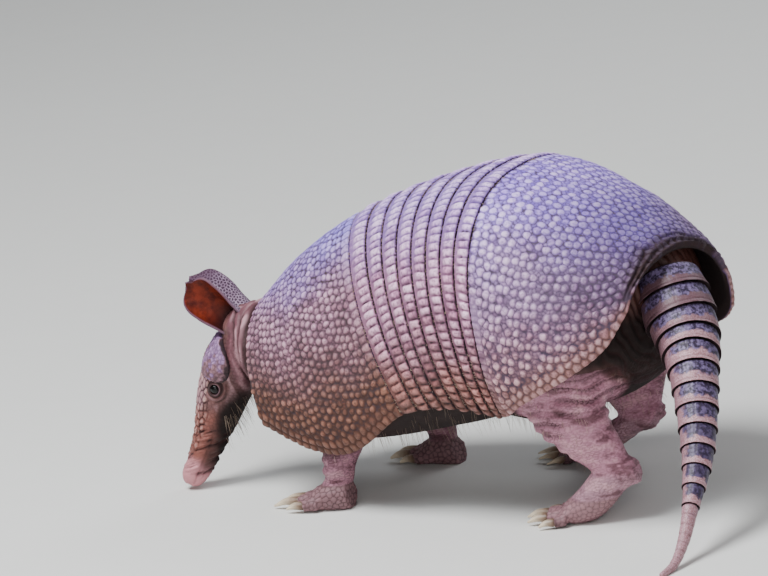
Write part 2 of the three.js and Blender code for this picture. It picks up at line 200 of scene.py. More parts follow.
backward = np.array(
    [
        math.sin(VIEW_AZIMUTH) * math.cos(VIEW_ELEVATION),
        -math.cos(VIEW_AZIMUTH) * math.cos(VIEW_ELEVATION),
        math.sin(VIEW_ELEVATION),
    ]
)
level = np.array([math.cos(VIEW_AZIMUTH), math.sin(VIEW_AZIMUTH), 0])
upright = np.cross(backward, level)
camera_right = level * math.cos(VIEW_ROLL) - upright * math.sin(VIEW_ROLL)
camera_up = level * math.sin(VIEW_ROLL) + upright * math.cos(VIEW_ROLL)
camera = bpy.data.objects.new("camera", bpy.data.cameras.new("camera"))
bpy.context.scene.collection.objects.link(camera)
camera.data.sensor_width = 36
camera.data.lens = 36 * PIXELS_PER_MM * VIEW_DISTANCE / FRAME_WIDTH
camera.data.clip_start, camera.data.clip_end = 0.1, 50
place = np.eye(4)
place[:3, :3] = np.array([camera_right, camera_up, backward]).T
place[:3, 3] = to_frame(VIEW_TARGET + backward * VIEW_DISTANCE)
camera.matrix_world = Matrix(place.tolist())
bpy.context.scene.camera = camera
print("lens", round(camera.data.lens), "mm, camera at", camera.location.to_tuple(2))

# %% [markdown]
# ## From arrays to meshes
# Every piece is worked out as an array of points in rows and columns. These helpers turn such an
# array into a closed mesh, store the painted masks on its points for the materials, and turn
# the faces outward by the sign of the enclosed volume. A plate is a fine outer face over a coarse
# inner one, and a tube is a row of rings with an end point at each end.

# %% Mesh helpers
def build(name, points, faces, material, replaces, masks, places=None):
    """A mesh piece from points in mm. faces is a list of index arrays; places are UVs per point."""
    points = np.asarray(points, float)
    faces = [np.asarray(f, np.int64) for f in faces if len(f)]
    volume = 0.0
    for f in faces:
        for k in range(1, f.shape[1] - 1):
            a, b, c = points[f[:, 0]], points[f[:, k]], points[f[:, k + 1]]
            volume += np.einsum("ij,ij->", a - points[0], np.cross(b - points[0], c - points[0]))
    if volume < 0:
        faces = [f[:, ::-1] for f in faces]
    corners = np.concatenate([f.ravel() for f in faces])
    sizes = np.concatenate([np.full(len(f), f.shape[1]) for f in faces])
    starts = np.concatenate([[0], np.cumsum(sizes)[:-1]])
    mesh = bpy.data.meshes.new(name)
    mesh.vertices.add(len(points))
    mesh.vertices.foreach_set("co", to_frame(points).astype(np.float32).ravel())
    mesh.loops.add(len(corners))
    mesh.loops.foreach_set("vertex_index", corners.astype(np.int32))
    mesh.polygons.add(len(sizes))
    mesh.polygons.foreach_set("loop_start", starts.astype(np.int32))
    mesh.update(calc_edges=True)
    mesh.shade_smooth()
    for key, values in masks.items():
        store = mesh.attributes.new(key, "FLOAT", "POINT")
        store.data.foreach_set("value", np.asarray(values, np.float32).ravel())
    if places is not None:
        layer = mesh.uv_layers.new(name="OFBake")
        layer.data.foreach_set("uv", np.asarray(places, np.float32)[corners].ravel())
    mesh.materials.append(material)
    piece = bpy.data.objects.new(name, mesh)
    bpy.context.scene.collection.objects.link(piece)
    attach(piece, "root")
    if replaces:
        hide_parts(*replaces)
    print(f"{name}: {int((sizes - 2).sum())} triangles")


def grid_faces(rows, columns, first=0, round_trip=False):
    """Quads of a grid of points, row after row. round_trip joins the last column to the first."""
    width = columns if round_trip else columns - 1
    r, c = np.meshgrid(np.arange(rows - 1), np.arange(width), indexing="ij")
    here, right = r * columns + c, r * columns + (c + 1) % columns
    return np.stack([here, right, right + columns, here + columns], -1).reshape(-1, 4) + first


def frame_loop(rows, columns):
    """Indices round the edge of a grid."""
    r, c = np.arange(rows - 1), np.arange(columns - 1)
    last_row, last_column = rows - 1, columns - 1
    return np.concatenate(
        [c, r * columns + last_column, last_row * columns + last_column - c, (last_row - r) * columns]
    )


def plate_faces(rows, columns, stride):
    """A fine outer grid and a coarse inner grid, joined round the edge into a closed plate."""
    inner_rows, inner_columns = (rows - 1) // stride + 1, (columns - 1) // stride + 1
    first = rows * columns
    outer, inner = frame_loop(rows, columns), frame_loop(inner_rows, inner_columns) + first
    k, steps = np.arange(len(outer)), np.arange(len(inner))
    after = np.roll(outer, -1)
    fans = np.stack([outer, after, inner[k // stride]], -1)[:, ::-1]
    gaps = np.stack([after[steps * stride + stride - 1], np.roll(inner, -1), inner], -1)[:, ::-1]
    back = grid_faces(inner_rows, inner_columns, first)[:, ::-1]
    return [grid_faces(rows, columns), back, fans, gaps]

# %% Plates
def sheet_places(rows, columns, low, high):
    """UVs of a grid of points, in a strip from low to high."""
    u, v = np.meshgrid(np.linspace(low, high, rows), np.linspace(0.01, 0.99, columns), indexing="ij")
    return np.stack([u, v], -1).reshape(-1, 2)


def plate(name, outer, inner, stride, material, masks, inner_masks, split):
    """A plate piece; the UVs of the outer face end at split, where those of the inner one begin."""
    size, inner_size = outer.shape[:2], inner.shape[:2]
    stored = {}
    for key, values in masks.items():
        under = np.broadcast_to(inner_masks.get(key, 0.0), inner_size)
        stored[key] = np.concatenate([np.broadcast_to(values, size).ravel(), under.ravel()])
    places = [sheet_places(*size, 0.01, split - 0.01), sheet_places(*inner_size, split + 0.01, 0.99)]
    points = np.concatenate([outer.reshape(-1, 3), inner.reshape(-1, 3)])
    faces = plate_faces(*size, stride)
    build(name, points, faces, material, (name,), stored, np.concatenate(places))

# %% Tubes and normals
def tube_faces(rows, columns):
    """Faces of a tube with round ends: points in rows, then one centre point for each end."""
    first, last = rows * columns, rows * columns + 1
    c = np.arange(columns)
    n = (c + 1) % columns
    start = np.stack([n, c, np.full(columns, first)], -1)
    end = np.stack([(rows - 1) * columns + c, (rows - 1) * columns + n, np.full(columns, last)], -1)
    return [grid_faces(rows, columns, round_trip=True), start, end]


def tube_points(rings):
    return np.concatenate([rings.reshape(-1, 3), rings[0].mean(0)[None], rings[-1].mean(0)[None]])


def tube(name, rings, material, masks, ends=None):
    """A tube piece; ends are the masks' values at its end points, if not those beside them."""
    rows, columns = rings.shape[:2]
    stored = {}
    for key, values in masks.items():
        values = np.broadcast_to(values, (rows, columns)).ravel()
        stored[key] = np.concatenate([values, ends or [values[0], values[-1]]])
    u, v = np.meshgrid(np.linspace(0.02, 0.98, columns), np.linspace(0.03, 0.97, rows))
    places = np.concatenate([np.stack([u, v], -1).reshape(-1, 2), [[0.5, 0.005], [0.5, 0.995]]])
    faces = tube_faces(rows, columns)
    build(name, tube_points(rings), faces, material, (name,), stored, places)


def turns(values, columns):
    """Two grids: the given values down the rows and the angles of a full turn along the columns."""
    return np.meshgrid(values, np.linspace(0, 2 * np.pi, columns, endpoint=False), indexing="ij")


def normals_of(points):
    """Unit normals of a grid of points; which side they point to depends on its order."""
    return unit(np.cross(np.gradient(points, axis=0), np.gradient(points, axis=1)) + 1e-12)

# %% [markdown]
# ## Shader sums
# Materials read best as expressions. `Value` wraps an output of a shader node and turns the
# usual operators into Math nodes; `Finish` holds a material and makes every other node.

# %% Value and Finish
class Value:
    """An output socket, for use in expressions such as 1 - groove * 0.5."""

    def __init__(self, finish, socket_shade):
        self.finish, self.socket_shade = finish, socket_shade

    def maths(self, operation, a, b):
        return self.finish.node("Math", {"operation": operation}, {0: a, 1: b})

    def __add__(self, other):
        return self.maths("ADD", self, other)

    def __sub__(self, other):
        return self.maths("SUBTRACT", self, other)

    def __rsub__(self, other):
        return self.maths("SUBTRACT", other, self)

    def __mul__(self, other):
        return self.maths("MULTIPLY", self, other)

    __radd__, __rmul__ = __add__, __mul__


def srgb(*levels):
    """A colour from 0 to 255 per channel, as Blender's linear values."""
    parts = [v / 255 for v in levels]
    return (*[p / 12.92 if p <= 0.04045 else ((p + 0.055) / 1.055) ** 2.4 for p in parts], 1.0)


class Finish:
    """A material whose nodes are made by one method."""

    def __init__(self, name, **constants):
        self.material = bpy.data.materials.new(name)
        self.material.use_nodes = True
        self.tree = self.material.node_tree
        self.surface = self.tree.nodes["Principled BSDF"]
        for key, value in constants.items():
            self.surface.inputs[key.replace("_", " ")].default_value = value

    def node(self, kind, settings=None, sockets=None, out=0):
        made = self.tree.nodes.new("ShaderNode" + kind)
        for key, value in (settings or {}).items():
            setattr(made, key, value)
        for key, value in (sockets or {}).items():
            if isinstance(value, Value):
                self.tree.links.new(value.socket_shade, made.inputs[key])
            else:
                made.inputs[key].default_value = value
        return Value(self, made.outputs[out])

    def mask(self, name):
        return self.node("Attribute", {"attribute_name": name}, out=2)

    def blend(self, factor, a, b, mode="MIX"):
        sockets = {0: factor, 6: a, 7: b}
        return self.node("Mix", {"data_type": "RGBA", "blend_type": mode}, sockets, out=2)

    def coat(self, colour, mask, strength, tint, mode="MIX"):
        """The colour with a tint over it where the mask is painted."""
        return self.blend(self.mask(mask) * strength, colour, tint, mode)

    def speckle(self, scale, detail=3.0, roughness=0.6):
        """Noise from 0 to 1; the larger the scale, the finer."""
        sockets = {"Vector": self.node("TexCoord", out=3), "Scale": scale, "Detail": detail, "Roughness": roughness}
        return self.node("TexNoise", {}, sockets)

    def ramp(self, value, low, high):
        return self.node("MapRange", {"interpolation_type": "SMOOTHSTEP"}, {0: value, 1: low, 2: high})

    def bump(self, height, distance, strength):
        return self.node("Bump", {}, {"Height": height, "Distance": distance, "Strength": strength})

    def wear(self, **links):
        for key, value in links.items():
            self.tree.links.new(value.socket_shade, self.surface.inputs[key.replace("_", " ")])
        return self.material

# %% [markdown]
# ## The shell's sections
# A section of the shell is an oval across the body. It has a ridge point, an upward direction
# and sizes, and the shell follows it from the ridge down to a margin on both sides. Walking each
# row by its real length keeps the points of the fine surfaces evenly spaced.

# %% Section, margin and evenly walked rows
def oval(centre, up, across, rise, fall, half, angle, power=2.0):
    """Points of an oval section; all arguments may be arrays over rows."""
    side = np.sign(np.sin(angle)) * np.abs(np.sin(angle)) ** (2 / power)
    high = np.sign(np.cos(angle)) * np.abs(np.cos(angle)) ** (2 / power)
    reach = high * np.where(high > 0, rise, fall)
    return centre + up * reach[..., None] + across * (side * half)[..., None]


def section_point(at, angle, inset=0.0, fall=None):
    """Points of the sections at stations `at`, at angles from the ridge, inset from the surface."""
    at, angle, inset = np.broadcast_arrays(np.asarray(at, float), angle, inset)
    tilt, turn = np.radians(along(SHELL, "tilt", at)), np.radians(along(SHELL, "turn", at))
    up = np.stack([-np.sin(tilt) * np.cos(turn), -np.sin(tilt) * np.sin(turn), np.cos(tilt)], -1)
    across = np.stack([-np.sin(turn), np.cos(turn), 0 * turn], -1)
    rise, half, power = several(SHELL, at, "rise", "half", "power")
    drop = along(SHELL, "fall", at) - inset if fall is None else fall
    centre = line_point(SHELL, at) - up * rise[..., None]
    return oval(centre, up, across, rise - inset, drop, half - inset, angle, power)

def margin_angle(at):
    """The angle from the ridge at which the shell ends."""
    rise, fall, power, depth = several(SHELL, at, "rise", "fall", "power", "depth")
    short = np.arccos(np.clip((rise - depth) / rise, 0, 1) ** (power / 2))
    long = np.pi / 2 + np.arcsin(np.clip((depth - rise) / fall, 0, 1) ** (power / 2))
    return np.where(depth <= rise, short, long)

def walk(stations, columns):
    """Angles that divide each row evenly by length, and the length from the ridge at each."""
    dense = np.linspace(0, 1, 900)
    margin = margin_angle(stations)
    low, high = -margin, margin + np.radians(along(SHELL, "lean", stations))
    angles = mix(low[:, None], high[:, None], dense)
    points = section_point(stations[:, None], angles)
    arcs = np.cumsum(np.linalg.norm(np.diff(points, axis=1, prepend=points[:, :1]), axis=-1), axis=1)
    angle, arc = np.empty((2, len(stations), columns))
    for r in range(len(stations)):
        lengths = np.linspace(0, arcs[r, -1], columns)
        angle[r] = np.interp(lengths, arcs[r], angles[r])
        arc[r] = lengths - np.interp(0, angles[r], arcs[r])
    return angle, arc


print("half width at the hips:", round(float(along(SHELL, "half", 8.0))), "mm")

# %% [markdown]
# ## Scales of the shields
# On the shoulder and hip shields each large round scale has a ring of small ones. Seeds are laid
# in offset rows, and each small scale grows in the middle of three large ones. A point of the
# surface belongs to the seed it is deepest inside, which gives its height and its masks.

# %% Seeds on a grid of points
def chart_places(chart, rows, columns):
    """Interpolates the grid `chart` at fractional row and column numbers."""
    rows = np.clip(rows, 0, chart.shape[0] - 1.001)
    columns = np.clip(columns, 0, chart.shape[1] - 1.001)
    r, c = rows.astype(int), columns.astype(int)
    fr, fc = (rows - r)[:, None], (columns - c)[:, None]
    return mix(mix(chart[r, c], chart[r, c + 1], fc), mix(chart[r + 1, c], chart[r + 1, c + 1], fc), fr)


def grid_steps(chart):
    """Distances from each point of a grid to the next one down and to the next one across."""
    return [np.linalg.norm(np.diff(chart, axis=axis), axis=-1) for axis in (0, 1)]


def lay_seeds(chart, pitch, spacing, rim, rim_sides, seed):
    """Large seeds in offset rows over a grid of points, and rim seeds along the given sides."""
    rng = np.random.default_rng(seed)
    rows, columns, _ = chart.shape
    every_row, every_column = np.arange(rows), np.arange(columns)
    down, across = grid_steps(chart)
    length = np.concatenate([np.zeros((1, columns)), np.cumsum(down, 0)])
    width = np.concatenate([np.zeros((rows, 1)), np.cumsum(across, 1)], 1)
    middle = length[:, columns // 4]
    clear = rim * 2 + 1.2
    usable = middle[-1] - rim * 1.1 * ("rear" in rim_sides)
    count = max(int(round(usable / pitch)), 1)
    places = []
    for k in range(count):
        row = np.interp((k + 0.55) * usable / count, middle, every_row)
        at = int(round(row))
        inside = width[at, -1] - 2 * clear
        number = max(int(round(inside / spacing(row / rows))), 2)
        steps = (np.arange(number) + (0.75 if k % 2 else 0.25)) / number * inside + clear
        places.append(np.stack([np.full(number, row), np.interp(steps, width[at], every_column)], 1))
    places = np.concatenate(places)
    places[:, 0] += rng.normal(0, 0.1 * pitch / (middle[-1] / rows), len(places))
    places[:, 1] += rng.normal(0, 0.1 * pitch / (width[rows // 2, -1] / columns), len(places))
    edge_places = []
    for depth in (rim * 0.5, rim * 1.5):
        for way in (1, -1):
            inward = width if way > 0 else width[:, -1:] - width
            column = np.array([np.interp(depth, line[::way], every_column[::way]) for line in inward])
            line = chart_places(chart, every_row.astype(float), column)
            run = np.concatenate([[0], np.cumsum(gap_to(line[1:], line[:-1]))])
            number = int(run[-1] / rim)
            steps = (np.arange(number) + (0.25 if depth > rim else 0.75)) * run[-1] / number
            row = np.interp(steps, run, every_row)
            edge_places.append(np.stack([row, np.interp(row, every_row, column)], 1))
    if "rear" in rim_sides:
        row = np.interp(middle[-1] - rim * 0.55, middle, every_row)
        at = int(row)
        total = width[at, -1] - 2 * clear
        number = max(int(total / rim), 1)
        column = np.interp(np.arange(number) / number * total + clear, width[at], every_column)
        edge_places.append(np.stack([np.full(number, row), column], 1))
    return places, np.concatenate(edge_places)

# %% Rosettes, and the scale that a point belongs to
def tree_of(points):
    tree = KDTree(len(points))
    for k, p in enumerate(points):
        tree.insert(p, k)
    tree.balance()
    return tree


def thin_out(points, least):
    """Keeps points that are at least `least` from those kept before."""
    kept, tree = [], tree_of(points)
    gone = np.zeros(len(points), bool)
    for k, p in enumerate(points):
        if gone[k]:
            continue
        kept.append(k)
        for _, other, _ in tree.find_range(p, least):
            if other > k:
                gone[other] = True
    return np.array(kept)


def edges_of(faces):
    """Every edge of the faces once, as pairs of point numbers."""
    pairs = [np.stack([f[:, k], f[:, (k + 1) % f.shape[1]]], 1) for f in faces for k in range(f.shape[1])]
    return np.unique(np.sort(np.concatenate(pairs), axis=1), axis=0)


SMALL, LARGE, RIM = 0, 1, 2


def rosettes(chart, pitch, spacing, radius, rim, rim_sides, seed):
    """Seeds with their radii: large, rim and, between every three of them, small ones."""
    large, edge = lay_seeds(chart, pitch, spacing, rim, rim_sides, seed)
    both = np.concatenate([edge, large])
    points = chart_places(chart, both[:, 0], both[:, 1])
    kept = thin_out(points, 0.62 * spacing(0.5))
    both, points, is_edge = both[kept], points[kept], (kept < len(edge))
    flat = both * [steps.mean() for steps in grid_steps(chart)]
    triangles = delaunay_2d_cdt([Vector(p) for p in flat], [], [], 0, 1e-6)[2]
    triangles = np.array([t for t in triangles if len(t) == 3])
    corners = points[triangles]
    longest = gap_to(corners, np.roll(corners, 1, axis=1)).max(1)
    triangles = triangles[(longest < 2.1 * spacing(0.5)) & ~is_edge[triangles].all(1)]
    middles = points[triangles].mean(1)
    gap = gap_to(points[triangles], middles[:, None]).min(1)
    edges = edges_of([triangles])
    edges = edges[~is_edge[edges].any(1)]
    spans = gap_to(points[edges[:, 0]], points[edges[:, 1]])
    wide = spans > 2 * radius + 1.5
    halfway = points[edges[wide]].mean(1)
    small = np.clip(gap - radius, 0.3, radius * 0.6)
    slim = np.clip(spans[wide] / 2 - radius, 0.3, radius * 0.5)
    return (
        np.concatenate([points, middles, halfway]),
        np.concatenate([np.where(is_edge, rim * 0.5, radius), small, slim]),
        np.concatenate([np.where(is_edge, RIM, LARGE), np.full(len(middles) + len(halfway), SMALL)]),
    )


NEIGHBOURS = 4


def scale_field(points, seeds, radii, kinds, seed):
    """For each point: depth inside its scale (mm), share of the way to its middle, kind and random tone."""
    shape, points = points.shape[:-1], points.reshape(-1, 3)
    tree = tree_of(seeds)
    near = np.zeros((len(points), NEIGHBOURS), int)
    gap = np.full((len(points), NEIGHBOURS), 99.0)
    for k, p in enumerate(points):
        for j, (_, index, distance) in enumerate(tree.find_n(p, NEIGHBOURS)):
            near[k, j], gap[k, j] = index, distance
    weighed = gap - radii[near]
    order = np.argsort(weighed, axis=1)[:, :2]
    best = np.take_along_axis(weighed, order, 1)
    owner = np.take_along_axis(near, order[:, :1], 1)[:, 0]
    inside = (best[:, 1] - best[:, 0]) / 2
    share = np.clip(-best[:, 0] / radii[owner], 0, 1)
    tones = np.random.default_rng(seed).uniform(-1, 1, len(seeds))
    return [values.reshape(shape) for values in (inside, share, kinds[owner], tones[owner])]


print("seeds, scales and edges ready")

# %% [markdown]
# ## Horn and bone: the shell's finish
# The scales are horn over bone. At the ridge their bluish lilac is a painted reflection of a sky above,
# low on the flanks they are brownish pink, and in the furrows they are dark with dirt and painted shade;
# the rear of the hip shield carries painted shade as well. The masks painted on the points say where
# each of these is, so the colours follow the shape exactly.

# %% Finish of the shell
WORN_PALE, WORN_DARK, SHADOW = (1.0, 0.92, 0.95, 1.0), (0.1, 0.07, 0.09, 1.0), (0.26, 0.22, 0.32, 1.0)
ARCH_BROWN = (44, 25, 21)
DULL = 0.74


def shell_finish(name, grounds, crests, furrow, rim, gloss):
    """grounds and crests are colours at the ridge (a painted sky reflection), on the flank and low down; rim is the
    soiled margin, and on the crown painted shade along the side edges.
    """
    finish = Finish(name, Specular_IOR_Level=0.5)
    raised, tone, down = finish.mask("raised"), finish.mask("tone"), finish.mask("down")
    fine, patchy, grime = finish.speckle(900.0), finish.speckle(26.0), finish.speckle(420.0, 4.0, 0.7)
    level = down + (patchy - 0.5) * 0.3
    lower, lowest = finish.ramp(level, 0.08, 0.46), finish.ramp(level, 0.44, 0.82)
    ground, crest_and_highlight = (
        finish.blend(lowest, finish.blend(lower, srgb(*high), srgb(*flank)), srgb(*low))
        for high, flank, low in (grounds, crests)
    )
    horn = finish.blend(finish.ramp(raised + (fine - 0.5) * 0.35, 0.3, 0.95), ground, crest_and_highlight)
    horn = finish.blend(finish.ramp(grime, 0.46, 0.64) * 0.75, horn, ground)
    pale, dark = tone + (fine - 0.5), 0.0 - tone + (patchy - 0.5) * 1.5
    horn = finish.blend(finish.ramp(pale, 0.1, 1.0) * 0.5, horn, WORN_PALE, "SOFT_LIGHT")
    horn = finish.blend(finish.ramp(dark, 0.0, 1.0) * 0.62, horn, WORN_DARK, "SOFT_LIGHT")
    horn = finish.coat(horn, "shaded", 0.85, SHADOW, "MULTIPLY")
    horn = finish.blend(finish.mask("dust") * (1.0 - raised * 0.55) * 0.9, horn, srgb(*rim))
    # Scale tops are lighter than the ground, partly a painted highlight, and the furrows between them are dark with
    # dirt and painted shade.
    colour = finish.blend(finish.ramp(raised + (fine - 0.5) * 0.12, 0.02, 0.3), srgb(*furrow), horn)
    colour = finish.coat(colour, "arch", 0.92, srgb(*ARCH_BROWN))
    pits = finish.bump(finish.speckle(2200.0, 4.0, 0.7) * 0.5 + grime * 0.8, 0.0005, 0.8)
    rough = DULL - finish.ramp(raised, 0.2, 0.9) * (DULL - gloss) + (fine - 0.5) * 0.14 + finish.mask("arch") * 0.3
    return finish.wear(Base_Color=colour, Roughness=rough, Normal=pits)


# The first colour of each triple, at the ridge, is a painted bluish sky reflection.
HIP = shell_finish(
    "hip horn",
    ((140, 112, 206), (138, 108, 146), (124, 86, 94)),
    ((210, 184, 255), (208, 172, 212), (212, 162, 164)),
    (66, 50, 72), (118, 78, 66), 0.36,
)
SHOULDER = shell_finish(
    "shoulder horn",
    ((116, 98, 178), (120, 84, 104), (76, 43, 31)),
    ((172, 154, 236), (188, 146, 164), (136, 90, 72)),
    (54, 36, 42), (78, 40, 26), 0.5,
)
BAND = shell_finish(
    "band horn",
    ((130, 100, 172), (140, 94, 124), (96, 56, 52)),
    ((232, 198, 255), (248, 194, 226), (178, 118, 110)),
    (40, 22, 32), (92, 58, 48), 0.36,
)

# %% [markdown]
# ## Shields
# A shield is a plate with a fine outer face and a coarse inner one. The outer face is lifted
# along its normal by the scales, rounded at the edges, and sinks at its front into a tongue that
# slides under the band before it, as on the real animal.

# %% Build a shield
FINE = 1
TONGUE, TONGUE_DEPTH, TONGUE_THICKNESS = 0.14, 3.3, 4.5
LIP_THICKNESS, MARGIN_THICKNESS = 2.0, 2.4
DEEPEST_RIM = 1.8
BRICK_WIDTH = 4.2
UP = np.array([0.0, 0.0, 1.0])


def edge_round(distance, radius):
    """How far the surface sinks near an edge, for a rounded rim."""
    d = np.clip(distance, 0, radius)
    return radius - np.sqrt(np.maximum(radius**2 - (radius - d) ** 2, 0))


def shield(name, first, last, rows, columns, stride, material, pattern, front_tongue, rear_lip):
    """A plate of the shell from station first to last, with the heights and masks of its pattern."""
    rows, columns = (count // FINE // stride * stride + 1 for count in (rows, columns))
    stations = np.linspace(first - TONGUE if front_tongue else first, last, rows)
    angle, arc = walk(stations, columns)
    base = section_point(stations[:, None], angle)
    tongue = (step(stations, first - TONGUE, first + 0.04) if front_tongue else np.ones(rows))[:, None]
    out = normals_of(base)
    out = out * np.sign(np.mean(out @ UP))
    run = np.concatenate([np.zeros((1, columns)), np.cumsum(grid_steps(base)[0], 0)])
    to_rear, to_front = run[-1] - run, run - np.array([np.interp(first, stations, line) for line in run.T])
    half = np.where(arc < 0, -arc[:, :1], arc[:, -1:])
    to_margin = half - np.abs(arc)
    height, masks = pattern(base, arc, half, to_rear, to_front, to_margin)
    height = height * tongue - TONGUE_DEPTH * (1 - tongue)
    masks["raised"] = masks["raised"] * tongue
    rim = edge_round(to_margin, 1.5) + edge_round(to_rear, 1.0 if rear_lip else 1.5)
    thick = np.full((rows, columns), SHELL_THICKNESS)
    if rear_lip:
        thick = mix(LIP_THICKNESS, thick, step(to_rear, 1, 9))
    thick = mix(MARGIN_THICKNESS, thick, step(to_margin, 0, 7))
    if front_tongue:
        thick = np.maximum(thick, TONGUE_THICKNESS * (1 - tongue))
    else:
        rim = rim + edge_round(to_front, 1.5)
    outer = base + out * (height - np.minimum(rim, DEEPEST_RIM))[..., None]
    inner = (base - out * thick[..., None])[::stride, ::stride]
    plate(name, outer, inner, stride, material, masks, {"arch": 1.0}, 0.9)

# %% The pattern of round scales
def downward(arc, points, half):
    """0 at the ridge to 1 at the margin, by height as much as by length along the arc."""
    return np.clip(0.55 * np.abs(arc) / half + 0.45 * (1 - points[..., 2] / 190.0) * 1.2, 0, 1)


def rosette_pattern(pitch, spacing, radius, rim, rim_sides, dome, seed, strip=0.0):
    """A pattern for shield(): round scales on rough ground, flat at the ridge and domed below.
    strip is the width of a row of narrow bricks along the front, for the shield with the arch."""

    def pattern(base, arc, half, to_rear, to_front, to_margin):
        used = to_front[:, base.shape[1] // 2] >= 0
        seeds, radii, kinds = rosettes(base[used], pitch, spacing, radius, rim, rim_sides, seed)
        bent = base + 0.6 * np.stack([noise(base, 2.6, seed + k) for k in (6, 7, 8)], -1)
        inside, share, kind, tone = scale_field(bent, seeds, radii, kinds, seed + 1)
        down = downward(arc, base, half)
        steep = mix(4.0, 2.1, step(down, 0.15, 0.5))
        rounded = (1 - (1 - share) ** steep) * step(inside, 0, 0.45)
        squarish = 1 - (1 - np.clip(inside / mix(1.2, 2.2, step(down, 0.2, 0.6)), 0, 1)) ** 2
        bulge = np.where(kind == RIM, squarish, rounded)
        tall = mix(*dome, step(down, 0.15, 0.6)) * np.where(kind == SMALL, 0.35, 1.0) * (1 + 0.2 * tone)
        rough, slow = noise(base, 1.7, seed), noise(base, 9.0, seed)
        height = bulge * tall - 0.4 + 0.15 * slow + 0.13 * rough * (1 - bulge * 0.7)
        raised = np.where(kind == SMALL, 0.2 + 0.3 * bulge, 0.12 + 0.88 * bulge) + 0.12 * rough
        raised = raised * mix(0.55, 1, step(inside, 0, 0.5))
        masks = {"tone": tone, "down": down, "arch": 0 * arc, "shaded": 0 * arc}
        if strip:
            place = np.abs(arc) / BRICK_WIDTH + 0.12 * noise(base, 8.0, seed + 5)
            f = place - np.floor(place)
            seam = np.minimum(np.minimum(f, 1 - f) * BRICK_WIDTH, strip - to_front)
            on = (to_front < strip) * step(down, 0.4, 0.55)
            brick = step(seam, 0.0, 1.2)
            height = mix(height, 0.4 * brick - 0.4 + 0.1 * rough, on)
            raised = mix(raised, 0.2 + 0.35 * brick + 0.1 * rough, on)
            masks["arch"] = fade(to_rear + 3 * slow, 4, 22) * fade(down, 0.45, 0.62)
            masks["shaded"] = fade(to_rear, 20, 100) * fade(down, 0.45, 0.75)
            height = height + 0.7 * masks["arch"] * np.sin(to_rear * 1.3 + 2.2 * noise(base, 11.0, seed))
        masks["dust"] = fade(to_margin, 2, 26) * (1 - masks["arch"])
        masks["raised"] = np.clip(raised, 0, 1)
        print(f"  {len(seeds)} scales, {int((kinds == LARGE).sum())} large")
        return height, masks

    return pattern

# %% Hip shield and shoulder shield
shield(
    "hip_shield", BAND_COUNT + BAND_GAP, 17.5, 181, 528, 6, HIP,
    rosette_pattern(4.9, lambda t: 5.7 + 0.4 * t, 2.6, 5.4, ("margin",), (0.45, 0.9), 11, 5.0),
    True, False,
)
shield(
    "shoulder_shield", -6.0, -BAND_GAP, 156, 528, 6, SHOULDER,
    rosette_pattern(4.3, lambda t: 4.7 + 0.5 * t, 2.3, 5.4, ("margin", "rear"), (0.38, 1.0), 21),
    False, True,
)

# %% [markdown]
# ## Eight bands
# Each band is a hoop whose rear edge rides over the next one. Its scales are slanted blocks in
# one row along the rear two thirds, and in front of them the horn is smooth. They are worked out
# from the distance round the hoop, so no seeds are needed. Each block carries a painted highlight
# on its crown, and painted shade darkens the horn where one band rides over the next.

# %% Build the bands
BLOCK_WIDTH, BAND_RISE = 5.1, 1.3


def band_pattern(number):
    """A pattern for shield(): one row of slanted blocks, with smooth horn in front of them."""
    rng = np.random.default_rng(100 + number)

    def pattern(base, arc, half, to_rear, to_front, to_margin):
        across = np.clip(to_front / np.maximum(to_front + to_rear, 1e-6), 0, 1)
        down = downward(arc, base, half)
        wander, rough, ragged = (noise(base, size, number + k) for k, size in ((0, 9.0), (1, 1.6), (5, 1.3)))
        along_row = unit(np.gradient(base, axis=1))
        drift = np.cumsum(np.einsum("ijk,ijk->ij", np.diff(base, axis=0, prepend=base[:1]), along_row), 0)
        slant = mix(-2.6, -1.0, step(down, 0.2, 0.7)) * (1 - across)
        place = (np.abs(arc[:1] + drift) - slant + 0.6 * wander) / BLOCK_WIDTH + 0.37 * number
        block = np.floor(place).astype(int)
        f = place - block
        tone = rng.uniform(-1, 1, 400)[(block + 200 * (arc > 0)) % 400]
        front = mix(0.3, 0.2, step(down, 0.3, 0.7)) + 0.06 * tone
        on = step(across, front - 0.3, front + 0.25)
        border = np.minimum(f, 1 - f) * BLOCK_WIDTH
        dome = 1 - np.abs(2 * f**0.8 - 1) ** mix(2.6, 2.0, step(down, 0.2, 0.6))
        rear = 1 - step(across, 0.84, 1.0) * 0.35
        swell = np.sin(np.pi * np.clip((across - 0.1) / 0.98, 0, 1)) ** 0.8
        tall = dome * rear * swell * mix(1.15, 1.7, step(down, 0.1, 0.6)) * (1 + 0.2 * tone)
        height = on * (tall - 0.5) + BAND_RISE * (across - 0.5) + 0.1 * rough
        line = step(border + 0.25 * rough, 0.0, mix(1.2, 0.9, across))
        # lit is a painted highlight: lighter on each block's high middle and towards one end.
        lit = (0.3 + 0.1 * tone) * line + 0.65 * dome * swell * (1.25 - 0.7 * f) * line
        raised = mix(0.36, 0.14 + 0.86 * lit, on) + 0.16 * rough
        # Painted shade: the horn turns dark right at the rear lip and under the lip of the band before.
        raised = raised * step(to_rear + 0.3 * ragged, 0.0, 0.35)
        raised = raised * mix(0.1, 1, step(to_front + 0.3 * ragged, -0.2, 0.6))
        dust = 1 - step(to_margin, 1, 14)
        return height, {"raised": np.clip(raised, 0, 1), "tone": tone * on, "down": down, "dust": dust}

    return pattern


for k in range(BAND_COUNT):
    shield(
        f"band_{k + 1}", k + BAND_GAP, k + 1 - BAND_GAP, 36, 648, 5, BAND, band_pattern(k), True, True,
    )

# %% [markdown]
# ## The limb sweep
# Tail, legs, feet and toes are ovals swept along a bent line. The side called ahead is where the
# section's first column is measured to, so a leg can be deeper in front than behind.

